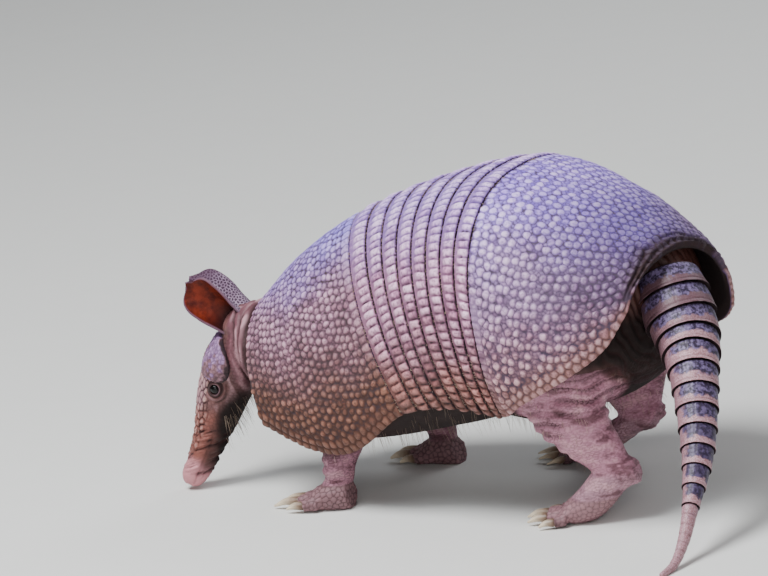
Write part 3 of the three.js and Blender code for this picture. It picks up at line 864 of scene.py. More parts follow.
# %% Sweep an oval along a bent line
def sweep(table, ahead, at, angle, grow=0.0):
    """Points of a swept limb at places `at` of the table's stations and angles from ahead."""
    last = table["station"][-1]
    at, angle = np.broadcast_arrays(np.asarray(at, float), angle)
    line = lambda s: line_point(table, np.clip(s, 0, last))
    tangent = unit(line(at + 0.02 * last) - line(at - 0.02 * last))
    across = unit(np.cross(tangent, ahead))
    up = np.cross(across, tangent)
    centre = line(at) + tangent * (grow * (2 * at / last - 1))[..., None]
    sizes = ("radius",) * 3 if "radius" in table else ("front", "back", "half")
    rise, fall, half = (size + grow for size in several(table, at, *sizes))
    return oval(centre, up, across, rise, fall, half, angle)


print("sweep ready")

# %% [markdown]
# ## Tail
# Twelve bony rings stand like stacked cups, each with its rear rim over the next. The near half
# of a ring is dark slate with small scales. Its rim is cream, and so is the side of the tail that
# faces the legs. That side is darkened with painted shade, and the first rings are darker all over.

# %% The tail's line and its finish
TAIL = {
    "station": [0, 17, 35, 60, 86, 112, 132, 147, 165, 183, 199],
    "x": [149, 159, 169, 179.5, 188, 195, 198.5, 201, 203, 204, 203],
    "y": [-9, -18, -28, -45, -62, -80, -95, -107, -122, -138, -153],
    "z": [132, 116, 101, 86.6, 67.6, 48.6, 35, 25.5, 12.5, 3.4, 1.2],
    "radius": [20, 21, 18.5, 14.5, 11.8, 9.2, 6.6, 4.7, 3.5, 2.5, 1.6],
}
TAIL_RINGS, RINGED_LENGTH, TAIL_LENGTH = 12, 146, 199
TAIL_AHEAD = (1, 0, 0.4)
PITCH = RINGED_LENGTH / TAIL_RINGS
NEAR_SCALE, RIM_SCALE = 2.9, 4.6
RIM_NOTCH, LIP_START = 0.84, 0.86
NOTCHED_RINGS = 7


def tail_finish():
    finish = Finish("tail horn", Specular_IOR_Level=0.4)
    crease, cells, fine = finish.mask("crease"), finish.speckle(420.0, 3.0, 0.65), finish.speckle(1300.0, 3.0, 0.7)
    dark = finish.blend(finish.ramp(cells, 0.4, 0.62), srgb(42, 32, 56), srgb(122, 106, 148))
    dark = finish.coat(dark, "far", 0.6, srgb(46, 36, 62))
    cream = finish.blend(finish.ramp(fine, 0.35, 0.7), srgb(150, 104, 108), srgb(204, 164, 176))
    # Darker first rings, and painted shade on the cream side that faces the legs.
    cream = finish.coat(cream, "darker_root_and_side_shade", 0.85, srgb(82, 56, 66))
    mixed = finish.blend(finish.ramp(finish.mask("slate") + (cells - 0.5) * 1.3, 0.2, 0.85), cream, dark)
    spots = finish.ramp(finish.speckle(800.0, 2.0), 0.66, 0.72)
    mixed = finish.blend(spots * 0.7, mixed, srgb(70, 50, 58))
    colour = finish.blend(crease, mixed, srgb(48, 30, 34))
    rough = 0.44 + crease * 0.3 + (fine - 0.5) * 0.16
    return finish.wear(Base_Color=colour, Roughness=rough, Normal=finish.bump(fine, 0.0002, 0.5))


def tail_rows(low, high, t, angle, flare, lift):
    """Rows of a ring: t runs from 0 at its near edge to 1 at its rim."""
    at = mix(low, high, t)
    skin = sweep(TAIL, TAIL_AHEAD, np.clip(at, 0, TAIL_LENGTH), angle)
    centre = (sweep(TAIL, TAIL_AHEAD, at, 0 * angle) + sweep(TAIL, TAIL_AHEAD, at, 0 * angle + np.pi)) / 2
    swell = 1 + flare * (t - 0.5) + lift / along(TAIL, "radius", at)
    return centre + (skin - centre) * swell[..., None]

# %% Build the rings
TAIL_HORN = tail_finish()
for k in range(TAIL_RINGS):
    low, high = max(1, k * PITCH), (k + 1) * PITCH - 0.35
    middle_radius = float(along(TAIL, "radius", (low + high) / 2))
    girth = 2 * math.pi * middle_radius
    t = np.concatenate([np.linspace(-0.16, 1.0, 28), [1.0, 0.97, 0.8]])
    tt, aa = turns(t, max(int(girth / 0.62), 48))
    signed = (aa + np.pi) % (2 * np.pi) - np.pi
    share = signed / (2 * np.pi) * int(round(girth / RIM_SCALE))
    spots = np.stack([middle_radius * np.cos(aa), middle_radius * np.sin(aa), tt * PITCH + 50 * k], -1)
    rough = noise(spots, 3.2, 7)
    near_row = (share * 1.6 + 0.15 * rough) % 1
    rim_row = (share + 0.5 * (np.floor(tt * 2) % 2) + 0.05 * rough) % 1
    split = 0.5 + 0.03 * rough
    is_rim = step(tt, split - 0.02, split + 0.02)
    cell = mix(np.minimum(near_row, 1 - near_row) * NEAR_SCALE, np.minimum(rim_row, 1 - rim_row) * RIM_SCALE, is_rim)
    cell = np.minimum(cell, np.abs(tt - split) * PITCH + 0.05)
    cell = np.where(tt < split, np.minimum(cell, np.abs(tt - 0.22) * PITCH + 0.05), cell)
    furrow, lip = 1 - step(cell, 0.0, 0.5), step(tt, LIP_START, 0.9)
    lift = 0.22 * lip - 0.2 * furrow * (1 - lip) + 0.08 * rough - 1.6 * fade(tt, -0.16, 0.04)
    lift = lift - 0.35 * wave(tt, RIM_NOTCH, 0.022) * (k < NOTCHED_RINGS)
    lift[-3:] = np.array([0.22, -0.5, -2.2])[:, None]
    rings = tail_rows(low, high, tt, aa, 0.08, np.maximum(lift, 0.6 - middle_radius))
    rings[..., 2] = np.maximum(rings[..., 2], 0.2)
    off_side = np.abs((signed - 0.15 + np.pi) % (2 * np.pi) - np.pi)
    nearness = step(k, 0, 5)
    back = 1 - step(off_side + 0.3 * rough, mix(1.5, 1.2, nearness), mix(2.5, 1.95, nearness))
    reach_down = mix(0.56, 0.7, step(k, 3, 8)) + 0.14 * rough + 0.08 * noise(spots, 1.2, 9)
    slate = back * fade(tt, reach_down - 0.15, reach_down + 0.15)
    crease = furrow * 0.4 * (1 - lip) * step(slate, 0, 0.5) + wave(tt, RIM_NOTCH, 0.02) * 0.5 * (k < NOTCHED_RINGS)
    crease = crease + 1 - step(tt, -0.05, 0.05)
    crease[-3:] = 1
    # The first rings are darker all over, and painted shade darkens the side that faces the legs.
    darker_root_and_side_shade = np.maximum(1 - step(k, 0.5, 3.5), 0.65 * step(off_side + 0.25 * rough, 1.2, 2.2))
    masks = {"slate": slate, "crease": np.clip(crease, 0, 1), "darker_root_and_side_shade": darker_root_and_side_shade, "far": step(k, 5, 9)}
    tube(f"tail_ring_{k + 1}", rings, TAIL_HORN, masks, [1, 1])

# %% Build the tip
t = np.linspace(-0.02, 1, 110)
tt, aa = turns(t, 48)
ringlet = (tt * 9.5) % 1
rough = noise(np.stack([5 * np.cos(aa), 5 * np.sin(aa), tt * 53], -1), 3.0, 8)
groove = wave(np.minimum(ringlet, 1 - ringlet), 0, 0.09) * fade(tt, 0.75, 0.95)
lift = -0.3 * groove + 0.08 * rough - 1.4 * fade(tt, -0.02, 0.015)
rings = tail_rows(RINGED_LENGTH, TAIL_LENGTH, tt, aa, 0.0, lift)
cap = np.sqrt(np.maximum(1 - step(t, 0.97, 1.0) ** 2 * 0.9, 0.05))
middle = rings.mean(1, keepdims=True)
rings = middle + (rings - middle) * cap[:, None, None]
rings[..., 2] = np.maximum(rings[..., 2], 0.0)
slate = 0.34 * fade(tt, 0.0, 0.35) * (np.cos(aa) > -0.2)
tube("tail_tip", rings, TAIL_HORN, {"slate": slate, "crease": groove * 0.35, "darker_root_and_side_shade": 0.12, "far": 1})

# %% [markdown]
# ## One skin for all the flesh
# Trunk, neck, head, legs and feet are first made as separate closed tubes that run into each
# other. A voxel remesh melts them into one surface, a smoothing takes the steps out of it, and
# the parts that are seen close by are divided once or twice more for lids, folds and warts.

# %% The flesh as tubes
HEAD = {
    "station": [-13, -10, -4, 4, 12, 20, 29, 41, 54, 66, 78, 88, 93, 96.5, 98],
    "rise": [3, 5.5, 8, 11, 13, 14, 14.4, 13, 10.2, 7.6, 6.8, 7.2, 6.9, 5.2, 3.2],
    "fall": [12, 17, 21, 22.5, 22, 21, 19.5, 17.6, 15.8, 13.6, 11.4, 9.4, 7.8, 5.6, 3.4],
    "half": [9, 14, 18.5, 20.5, 20.5, 19.2, 17.2, 14.2, 11.4, 9.7, 8.8, 8.3, 7.6, 5.6, 3.6],
}
FORELEG = {
    "station": [0, 1, 2, 3], "x": [-58, -61, -65, -66], "y": [-34, -40, -44, -45.5], "z": [68, 46, 28, 17],
    "front": [17, 15, 11, 9.5], "back": [18, 15, 10.5, 9.5], "half": [13, 12.5, 10, 9],
}
HINDLEG = {
    "station": [0, 1, 2, 3, 4],
    "x": [104, 99, 108, 119, 128], "y": [-40, -52, -55, -54, -53], "z": [98, 72, 54, 40, 26],
    "front": [30, 27, 19, 13.5, 10], "back": [28, 26, 20, 14, 10], "half": [20, 18, 15, 11.5, 9],
}
FORESOLE = {
    "station": [0, 1, 2], "x": [-59, -70, -82], "y": [-45, -46, -47], "z": [9, 8.5, 6.5],
    "front": [8, 9, 6], "back": [10.5, 10.5, 8.4], "half": [8.5, 11.5, 11],
}
HINDSOLE = {
    "station": [0, 1, 2, 3], "x": [139, 126, 108, 95], "y": [-51, -53, -56, -58], "z": [29, 26, 12, 6],
    "front": [8, 12, 10, 6.5], "back": [7, 9, 11, 8.5], "half": [8, 11, 13, 12.5],
}
# Each toe: where its bone begins, where its flesh ends, its radius and the length of its claw.
FORETOES = [
    ((-76, -56, 5), (-86, -58.5, 4.4), 3.9, 10), ((-80, -50.5, 5.4), (-92, -51.5, 4.8), 4.3, 17),
    ((-80, -43.5, 5.4), (-92, -43.5, 4.8), 4.3, 16), ((-76, -38, 5), (-86, -36, 4.4), 3.9, 10),
]
HINDTOES = [
    ((98, -69.5, 4.4), (91.5, -73.3, 3.8), 3.6, 9), ((94, -64, 5), (84, -66.8, 4.4), 4, 12),
    ((93, -57.5, 5.2), (81, -58.5, 4.6), 4.2, 14), ((94, -51, 5), (85, -50.2, 4.4), 4, 12),
    ((98, -46, 4.4), (92, -43.3, 3.8), 3.6, 9),
]
LEGS = [
    ("foreleg_left", FORELEG, FORESOLE, FORETOES, 1, 0), ("foreleg_right", FORELEG, FORESOLE, FORETOES, -1, 24),
    ("hindleg_left", HINDLEG, HINDSOLE, HINDTOES, 1, 0), ("hindleg_right", HINDLEG, HINDSOLE, HINDTOES, -1, -60),
]
SKIN_DEPTH = 0.3
LINING_GAP = 1.7


def posed(points, side, stride):
    """A point of the left limb, mirrored for the right side and moved along by the stride."""
    x = points[..., 0] + stride * np.clip((90 - points[..., 2]) / 90, 0, 1)
    return np.stack([x, side * points[..., 1], points[..., 2]], -1)


def rings_of(rows, columns, place):
    return place(*turns(np.linspace(0, 1, rows), columns))


def trunk_skin(at, angle):
    inset = SHELL_THICKNESS + LINING_GAP + along(TRUNK, "tuck", at) + SKIN_DEPTH
    return section_point(at, angle, inset, along(TRUNK, "belly", at) - SKIN_DEPTH)


def head_skin(distance, angle, grow=-SKIN_DEPTH):
    rise, fall, half = (size + grow for size in several(HEAD, distance, "rise", "fall", "half"))
    return oval(head_point(distance, 0, 0), head_dorsal, head_side, rise, fall, half, angle, 2.15)


skull_up = unit(head_dorsal - 0.9 * head_axis)
skull_middle = head_point(4, -4, 0)


def neck_skin(t, angle):
    """From the trunk's first section at 0 to a section inside the skull at 1, arched upward."""
    root = trunk_skin(TRUNK["station"][0] + 0 * angle, angle)
    sizes = (size - SKIN_DEPTH for size in (15, 19, 16))
    end = oval(skull_middle, skull_up, -head_side, *sizes, angle)
    return mix(root, end, t[..., None]) + skull_up * (7 * np.sin(np.pi * t))[..., None]


tubes = [
    rings_of(60, 120, lambda t, a: trunk_skin(mix(-5.7, 15.8, t), a)),
    rings_of(24, 80, lambda t, a: neck_skin(mix(-0.02, 1, t), a)),
    rings_of(110, 90, lambda t, a: head_skin(mix(-13, 98 - SKIN_DEPTH, t), a)),
]
for _, leg, sole, toes, side, stride in LEGS:
    limbs = [(40, 60, leg, (-1, 0, 0.2)), (30, 48, sole, (0, 0, 1))]
    for start, end, radius, _ in toes:
        bone = {axis: ends for axis, ends in zip("xyz", zip(start, end))}
        limbs.append((14, 24, {"station": [0, 1], "radius": [radius * 1.1, radius], **bone}, (0, 0, 1)))
    for rows, columns, table, ahead in limbs:
        last = table["station"][-1]
        limb = rings_of(rows, columns, lambda t, a: sweep(table, ahead, t * last, a, -SKIN_DEPTH))
        tubes.append(posed(limb, side, stride))
print(len(tubes), "tubes of flesh")

# %% Ear collars
EAR_LENGTH = 37
EAR = {
    "station": [0, 0.25, 0.5, 0.75, 0.9, 0.97, 1],
    "radius": [9, 10, 12.4, 14.4, 15.6, 16, 16],
    "wrap": [115, 98, 76, 58, 43, 26, 5],
}


def ear_axes(side):
    """The root of an ear, its length direction, the way it opens and the way across."""
    length = unit(0.92 * head_dorsal - 0.3 * head_axis + 0.22 * side * head_side)
    opening = side * head_side + 0.1 * head_axis
    opening = unit(opening - opening @ length * length)
    return head_point(-10.0, 2.5, side * 10.5), length, opening, np.cross(length, opening)


for side in (1, -1):
    root, length, opening, across = ear_axes(side)

    def collar(t, angle):
        flat = np.cos(angle)[..., None] * opening + np.sin(angle)[..., None] * across
        return root - opening + length * mix(-9, 5.5, t)[..., None] + flat * (10.2 - 2.2 * t**2)[..., None]

    tubes.append(rings_of(10, 32, collar))
print(len(tubes), "tubes with the two collars")

# %% [markdown]
# ## Melting the tubes together
# The remesh works on one mesh with all the tubes in it and keeps only what is outside. Soles and
# toes that reach below the floor are pressed flat on it.

# %% Helpers that remesh, divide and smooth
def melted(parts):
    """One closed surface round all the tubes, as a new remeshed mesh in metres."""
    points, faces, first = [], [], 0
    for rings in parts:
        p = tube_points(rings)
        for f in tube_faces(rings.shape[0], rings.shape[1]):
            faces.extend((f + first).tolist())
        points.append(p)
        first += len(p)
    mesh = bpy.data.meshes.new("flesh tubes")
    mesh.from_pydata((np.concatenate(points) * 0.001).tolist(), [], faces)
    lump = bpy.data.objects.new("flesh tubes", mesh)
    bpy.context.scene.collection.objects.link(lump)
    bm = bmesh.new()
    bm.from_mesh(mesh)
    bmesh.ops.recalc_face_normals(bm, faces=bm.faces)
    bm.to_mesh(mesh)
    bm.free()
    remesh = lump.modifiers.new("melt", "REMESH")
    remesh.mode, remesh.voxel_size, remesh.adaptivity = "VOXEL", VOXEL * 0.001, 0
    result = bpy.data.meshes.new_from_object(lump.evaluated_get(bpy.context.evaluated_depsgraph_get()))
    bpy.data.objects.remove(lump)
    bpy.data.meshes.remove(mesh)
    return result


def mesh_points(mesh):
    raw = np.empty(len(mesh.vertices) * 3, np.float32)
    mesh.vertices.foreach_get("co", raw)
    return raw.reshape(-1, 3).astype(float) * 1000


def mesh_faces(mesh):
    corners = np.empty(len(mesh.loops), np.int32)
    mesh.loops.foreach_get("vertex_index", corners)
    first = np.empty(len(mesh.polygons), np.int32)
    mesh.polygons.foreach_get("loop_start", first)
    count = np.empty(len(mesh.polygons), np.int32)
    mesh.polygons.foreach_get("loop_total", count)
    return [corners[first[count == n][:, None] + np.arange(n)] for n in (3, 4) if (count == n).any()]


def divide(mesh, chosen):
    """Divides the faces whose points are all chosen."""
    bm = bmesh.new()
    bm.from_mesh(mesh)
    bm.verts.ensure_lookup_table()
    edges = [e for e in bm.edges if chosen[e.verts[0].index] and chosen[e.verts[1].index]]
    bmesh.ops.subdivide_edges(bm, edges=edges, cuts=1, use_grid_fill=True)
    bmesh.ops.triangulate(bm, faces=[f for f in bm.faces if len(f.verts) > 4])
    bm.to_mesh(mesh)
    bm.free()


def smoothed(points, faces, rounds, weight=1.0, keep=True):
    """Averages each point with its neighbours; with keep, a second step undoes the shrinking."""
    edges = edges_of(faces)
    count = np.maximum(np.bincount(edges.ravel(), minlength=len(points)), 1)[:, None]
    weight = np.broadcast_to(np.asarray(weight, float), (len(points),))[:, None]
    for amount in rounds * ((0.5, -0.53) if keep else (0.5,)):
        total = np.zeros_like(points)
        for axis in range(3):
            for here, there in ((0, 1), (1, 0)):
                total[:, axis] += np.bincount(edges[:, here], points[edges[:, there], axis], len(points))
        points = points + (total / count - points) * amount * weight
    return points

def point_normals(points, faces):
    total = np.zeros_like(points)
    for f in faces:
        spans = np.cross(points[f[:, 2]] - points[f[:, 0]], points[f[:, -1]] - points[f[:, 1]])
        if f.shape[1] == 3:
            spans = np.cross(points[f[:, 1]] - points[f[:, 0]], points[f[:, 2]] - points[f[:, 0]])
        for k in range(f.shape[1]):
            for axis in range(3):
                total[:, axis] += np.bincount(f[:, k], spans[:, axis], len(points))
    return unit(total + 1e-12)

# %% Melt the flesh and soften where limbs meet
VOXEL = 1.5
flesh = melted(tubes)
skin = mesh_points(flesh)
print("melted flesh:", len(skin), "points")


def head_places(points):
    """Distance along the head's axis, height out of the forehead and distance to the left."""
    from_origin = points - HEAD_ORIGIN
    return from_origin @ head_axis, from_origin @ head_dorsal, from_origin @ head_side


near_joint = 1 - step(gap_to(skin, skull_middle), 24, 34)
for _, leg, _, _, side, stride in LEGS:
    for k, reach in ((0, 34.0), (1, 34.0), (-1, 16.0)):
        joint = posed(np.array([leg[axis][k] for axis in "xyz"], float), side, stride)
        near_joint = np.maximum(near_joint, 1 - step(gap_to(skin, joint), reach * 0.55, reach))
near_joint *= skin[:, 2] > 12
faces = mesh_faces(flesh)
skin = smoothed(skin, faces, 3)
skin = smoothed(skin, faces, 10, near_joint * 0.8, keep=False)
skin[:, 2] = np.maximum(skin[:, 2], 0.0)

# %% Divide what is seen close by
SHELL_FRONT, LEG_SKIN = -112, 14


def off_limb(points):
    """How far outside the nearest leg or foot each point is, roughly."""
    gap = np.full(len(points), 99.0)
    for _, leg, sole, _, side, stride in LEGS:
        for limb, first, width in ((leg, 0.5, "back"), (sole, 0, "half")):
            for at in np.linspace(first, limb["station"][-1], 9):
                middle = posed(line_point(limb, at), side, stride)
                gap = np.minimum(gap, gap_to(points, middle) - along(limb, width, at))
    return gap


def seen_close(points):
    """Where the skin is divided once: head, neck, legs, feet and the skin round the tail's root."""
    d, _, _ = head_places(points)
    head = (d > -26) & (points[:, 0] < SHELL_FRONT)
    leg = (off_limb(points) < 7) | (points[:, 2] < LEG_SKIN)
    tail_root = (points[:, 0] > 128) & (points[:, 2] > 70)
    return head | leg | tail_root


flesh.vertices.foreach_set("co", (skin * 0.001).astype(np.float32).ravel())
flesh.update()
divide(flesh, seen_close(skin))
skin = mesh_points(flesh)
for radius, with_face in ((((14.0, True), (8.0, False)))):
    d, q, w = head_places(skin)
    eye_gaps = [gap_to(np.stack([d, q, s * w], 1), EYE_AT) for s in (1, -1)]
    face = (d > 86) | ((d > 12) & (skin[:, 0] < -125) & (np.arctan2(np.abs(w), q) < 1.9))
    divide(flesh, (np.minimum(*eye_gaps) < radius) | (face & with_face))
    skin = mesh_points(flesh)
faces = mesh_faces(flesh)
skin = smoothed(skin, faces, 2)
print("divided flesh:", len(skin), "points")

# %% [markdown]
# ## Folds, lids and warts
# The divided skin is now modelled by moving its points along their normals. Each feature is a
# small field: a height that depends on where the point lies on the head, the neck or a leg.

# %% Warty skin from scattered seeds
HEAD_FRONT = -120  # the head is ahead of this x


def pebbles(points, chosen, least, seed, squeeze=(1, 1, 1)):
    """Rounded warts about `least` apart on the chosen points: depth inside each (mm) and its tone."""
    chosen = np.broadcast_to(chosen, points.shape[:-1])
    warped = points[chosen] * squeeze
    shuffled = warped[np.random.default_rng(seed).permutation(len(warped))]
    seeds = shuffled[thin_out(shuffled, least)]
    inside, _, _, tone = scale_field(warped, seeds, np.full(len(seeds), least / 2), np.zeros(len(seeds), int), seed)
    depth, tones = np.zeros((2, *chosen.shape))
    depth[chosen], tones[chosen] = inside, tone
    return depth, tones


def dome_of(depth, radius):
    """0 at a wart's edge to 1 where it is deeper than the radius, rounded like a dome."""
    return 1 - (1 - np.clip(depth / radius, 0, 1)) ** 2


normal = point_normals(skin, faces)
d, q, w = head_places(skin)
side_of = np.where(w >= 0, 1.0, -1.0)
turn_of = np.degrees(np.arctan2(np.abs(w), q))
on_head = step(d, -6, 4) * (skin[:, 0] < HEAD_FRONT)
print("points on the head:", int((on_head > 0.5).sum()))

# %% Eyes' sockets and lids
eye_u, eye_v = d - EYE_AT[0], q - EYE_AT[1]
from_eye = np.hypot(eye_u / 1.22, eye_v) + 0.25 * noise(skin, 3.0, 4)
at_eye = (np.abs(w) > 6) & (from_eye < 14)
behind_eye = step(-eye_v - 0.3 * eye_u, -2.5, 2.0)
outer_lid = 0.6 * wave(from_eye, 6.0, 0.7) - 0.45 * wave(from_eye, 7.4, 0.8)
lid = 1.0 * wave(from_eye, 3.1, 1.0) - 0.5 * wave(from_eye, 4.9, 0.7) + outer_lid * step(eye_u - eye_v, -3, 3)
lid *= at_eye
pit = at_eye * fade(from_eye, 2.35, 2.75)
print("points round the eyes:", int(at_eye.sum()))

# %% Snout, mouth, nostrils and folds of the neck
# Places, heights and widths of the neck's folds, and places and widths of the gaps between them.
FOLDS = [(-9.0, 1.0, 2.2), (-1.6, 1.9, 2.4), (5.6, 2.1, 2.6), (11.6, 1.0, 1.7), (16.6, 0.8, 1.4)]
FOLD_GAPS = [(-5.4, 0.9), (1.8, 0.9), (9.0, 1.0), (14.2, 0.7)]
mouth = wave(turn_of, 118 - 10 * step(d, 60, 96), 3.6) * step(d, 56, 70) * fade(d, 93, 97) * on_head
nostril_at = [head_point(96.6, 0.6, s * 3.1) + head_axis * 0.6 for s in (1, -1)]
nostril = sum(1 - step(gap_to(skin, spot), 0.7, 1.9) for spot in nostril_at)
creased = np.stack([1.4 * d + 0.16 * turn_of, 0.4 * q, 0.4 * w], 1)
nose_rings = noise(creased, 3.0, 5) + 0.5 * noise(creased, 1.3, 6)
nose_rings *= step(d, 50, 66) * fade(d, 87, 92) * on_head
blunt = step(d, 88, 93) * on_head
jowl = 1.2 * wave(d, 14, 10) * wave(turn_of, 112, 24) * on_head
collar_ridge = section_point(-6.0, 0.0)
collar_up = collar_ridge - section_point(-6.0, 0.0, 10.0)
ahead_of_shell = (skin - collar_ridge) @ unit(np.array([-collar_up[2], 0.0, collar_up[0]]))
below_ridge = np.clip(collar_ridge[2] - skin[:, 2], 0, 70)
before_shell = skin[:, 0] < SHELL_FRONT
# Painted shadow of the shell's front edge on the neck.
at_rim = wave(ahead_of_shell, 2.5 + 0.14 * np.minimum(below_ridge, 60), 2.0) * before_shell
ahead_of_shell = ahead_of_shell - 0.18 * below_ridge
warp = ahead_of_shell + 1.9 * noise(skin, 15.0, 6) + 0.4 * noise(skin, 3.5, 38)
uneven = 0.75 + 0.5 * noise(skin, 16.0, 37)
fold_gap = sum(wave(warp, centre, width) for centre, width in FOLD_GAPS)
fold_wave = sum(tall * uneven * wave(warp, centre, width) for centre, tall, width in FOLDS) - 0.8 * fold_gap
brow_free = 1 - step(d, 14, 30) * fade(turn_of, 70, 110)
on_neck = step(ahead_of_shell, -20, -12) * fade(ahead_of_shell, 15, 22) * before_shell * brow_free
fine_wrinkle = noise(skin * [1, 1, 0.35], 1.5, 9) * 0.14
print("points on the neck:", int((on_neck > 0.5).sum()))

# %% Warts of the snout, cheeks, legs and feet
scale_zone = (d > 12) & (d < 82) & (turn_of < 100) & (on_head > 0.5)
long_scales = np.stack([0.5 * d, q, w], 1) + 0.35 * noise(skin, 3.0, 30)[:, None]
scale_deep, scale_tone = pebbles(long_scales, scale_zone, 2.3, 31)
scale_fade = fade(d, 60, 84) * fade(turn_of, 62, 92) * on_head
scale_fade *= np.maximum(step(from_eye, 6.5, 9.0), step(eye_v, 3.6, 5.0))
cheek_zone = (d > -8) & (d < 70) & (turn_of >= 40) & (on_head > 0.3) & (skin[:, 0] < HEAD_FRONT)
wart_deep, wart_tone = pebbles(skin, cheek_zone, 2.0, 32)
wart_fade = step(turn_of, 44, 62) * step(from_eye, 5.5, 8) * fade(d, 55, 70) * step(d, -8, 0)
limb_zone = seen_close(skin) & (skin[:, 0] > SHELL_FRONT) & (skin[:, 2] < 92)
uneven_skin = skin + 0.4 * noise(skin, 2.5, 35)[:, None]
leg_deep, leg_tone = pebbles(uneven_skin, limb_zone & (skin[:, 2] >= 15), 1.45, 33, (0.62, 0.62, 1.25))
foot_deep, foot_tone = pebbles(skin, limb_zone & (skin[:, 2] < 17), 2.5, 34)
on_foot = 1 - step(skin[:, 2], 13, 17)
on_leg = limb_zone * (1 - on_foot)
leg_height = 0.5 * (dome_of(leg_deep, 0.7) - 0.6) * (0.7 + 0.5 * noise(skin, 11.0, 12))
folds_of_leg = 0.7 * np.sin(skin[:, 2] * 0.9 + 2.2 * noise(skin, 13.0, 14)) * step(noise(skin, 17.0, 15), -0.2, 0.5)
tail_root = step(skin[:, 0], 122, 134) * step(skin[:, 2], 62, 84)
root_folds = 0.7 * np.sin(gap_to(skin, [149, -9, 132]) * 0.95 + 3.0 * noise(skin, 8.0, 16)) * tail_root

# %% Move the skin
sole = 1 - step(skin[:, 2], 0.2, 2.0)
height = (
    lid + jowl + on_neck * fold_wave + 1.1 * nose_rings - 0.6 * mouth - 1.5 * nostril + 0.3 * blunt
    + scale_fade * 0.95 * (dome_of(scale_deep, 0.8) - 0.5)
    + wart_fade * 0.28 * (dome_of(wart_deep, 0.9) - 0.5)
    + on_leg * (leg_height + folds_of_leg)
    + on_foot * limb_zone * (1 - sole) * 0.4 * (dome_of(foot_deep, 1.0) - 0.5)
    + root_folds + fine_wrinkle * (1 - at_eye * 0.7)
)
on_floor = skin[:, 2] <= 0.01
skin = skin + normal * (height * (1 - sole * 0.9))[:, None] - (side_of * pit * 4.2)[:, None] * head_side
skin[:, 2] = np.where(on_floor, 0.0, np.maximum(skin[:, 2], 0.0))
print("heights from", round(float(height.min()), 1), "to", round(float(height.max()), 1), "mm")

# %% Masks of the skin
# Painted shadow: the throat, the lower jaw and the side of the snout towards them are coloured nearly black.
throat_turn = np.interp(d, [0, 20, 36, 46, 54, 66, 78, 92], [144, 132, 116, 106, 116, 136, 154, 176])
throat_shadow = on_head * (1 - 0.5 * on_neck)
throat_shadow *= step(turn_of + 9 * noise(skin, 5.0, 18), throat_turn - 14, throat_turn + 22)
leg_gaps = fade(leg_deep, 0.0, 0.4) * 0.4 * (1 + 0.6 * noise(skin, 6.0, 36))
leg_folds = step(-folds_of_leg, 0.0, 0.6) * step(skin[:, 2], 40, 62) * 0.5
# Painted shade: every fold, crease, gap between warts, the eye pit, the nostrils and the mouth are darkened.
groove = (
    on_leg * (leg_gaps + leg_folds) + on_foot * limb_zone * fade(foot_deep, 0.05, 0.5) * 0.5
    + scale_fade * fade(scale_deep, 0.0, 0.5) * 0.9 + wart_fade * fade(wart_deep, 0.02, 0.4) * 0.35
    + on_neck * np.clip(fold_gap, 0, 1) * np.clip(1.5 - uneven, 0.3, 1) + at_rim + pit
    + 0.85 * step(-nose_rings, 0.12, 0.7) + 0.25 * mouth * step(d, 60, 76) + 0.9 * (nostril > 0.25)
    + step(-root_folds, 0.2, 0.8) * 0.5
)
streaks = np.clip(on_neck + on_head * step(turn_of, 60, 90) * fade(d, 50, 64), 0, 1) * step(from_eye, 7, 10)
streaks *= noise(np.stack([warp, 0.12 * skin[:, 2], 0.3 * w], 1), 2.3, 73)
blotches = noise(skin * [0.45, 0.45, 1.2], 5.0, 71) + 0.6 * noise(skin * [0.6, 0.6, 1.4], 1.7, 72)
mottle = 1.3 * streaks + on_leg * blotches
# Painted highlight along the crests of the neck's folds; the pale mask adds it to pale blotches of the skin's own.
fold_crest_highlight = step(fold_wave, 0.9, 2.2) * step(noise(skin, 9.0, 39), -0.5, 0.5)
near_lid = wave(from_eye, 2.85, 0.3) * mix(0.1, 0.9, behind_eye) + 0.35 * wave(from_eye, 6.0, 0.7) * step(eye_u, 0, 3)
# Painted shade in the socket round the eye, strongest behind it and close round the ball.
near_ball = wave(from_eye, 4.2, 1.0) + 0.6 * wave(from_eye, 2.8, 0.5) * (1 - behind_eye) + (from_eye < 2.5)
near_ball += 0.7 * wave(from_eye, 7.4, 0.8) * step(eye_u, -3, 3) * behind_eye
under = np.maximum(step(off_limb(skin), 1, 9), 0.7 * step(skin[:, 2], 80, 98)) * step(skin[:, 0], SHELL_FRONT, -104)
skin_masks = {
    "mottle": step(mottle, 0.0, 0.8),
    "groove": np.clip(groove, 0, 1),
    "tone": np.clip(on_leg * leg_tone + scale_fade * scale_tone + wart_fade * wart_tone + on_foot * foot_tone, -1, 1),
    "snout": on_head * step(d, 34, 60),
    "nose": step(d + 3 * noise(skin, 5.0, 74), 70, 90) * on_head,
    "brow": scale_fade * fade(turn_of, 50, 70),
    "throat_shadow": throat_shadow,
    # Painted highlight on the tops of the snout's scales.
    "crest_and_highlight": scale_fade * step(scale_deep, 0.25, 0.9) * (0.6 + 0.5 * scale_tone),
    # Painted shade on the side of the face that turns towards the throat.
    "cheek_shade": on_head * step(turn_of + 10 * noise(skin, 4.0, 75), 80, 134) * step(d, 12, 40) * fade(d, 80, 92),
    "neck": on_neck,
    "pale": on_neck * fold_crest_highlight + 0.6 * step(-mottle, 0.1, 0.8),
    "leg": np.clip(on_leg, 0, 1),
    "ankle": limb_zone * fade(skin[:, 2], 22, 36) * step(skin[:, 0], 60, 80),
    "foot": on_foot * limb_zone,
    "notch": np.clip(tail_root, 0, 1),
    "lid": at_eye * np.clip(near_lid, 0, 1),
    "socket_shade": at_eye * np.clip(near_ball, 0, 1),
    "shade": under * (1 - step(skin[:, 0], 118, 130) * step(skin[:, 2], 112, 128)),
}
print("skin:", {key: round(float(np.mean(values)), 3) for key, values in skin_masks.items()})
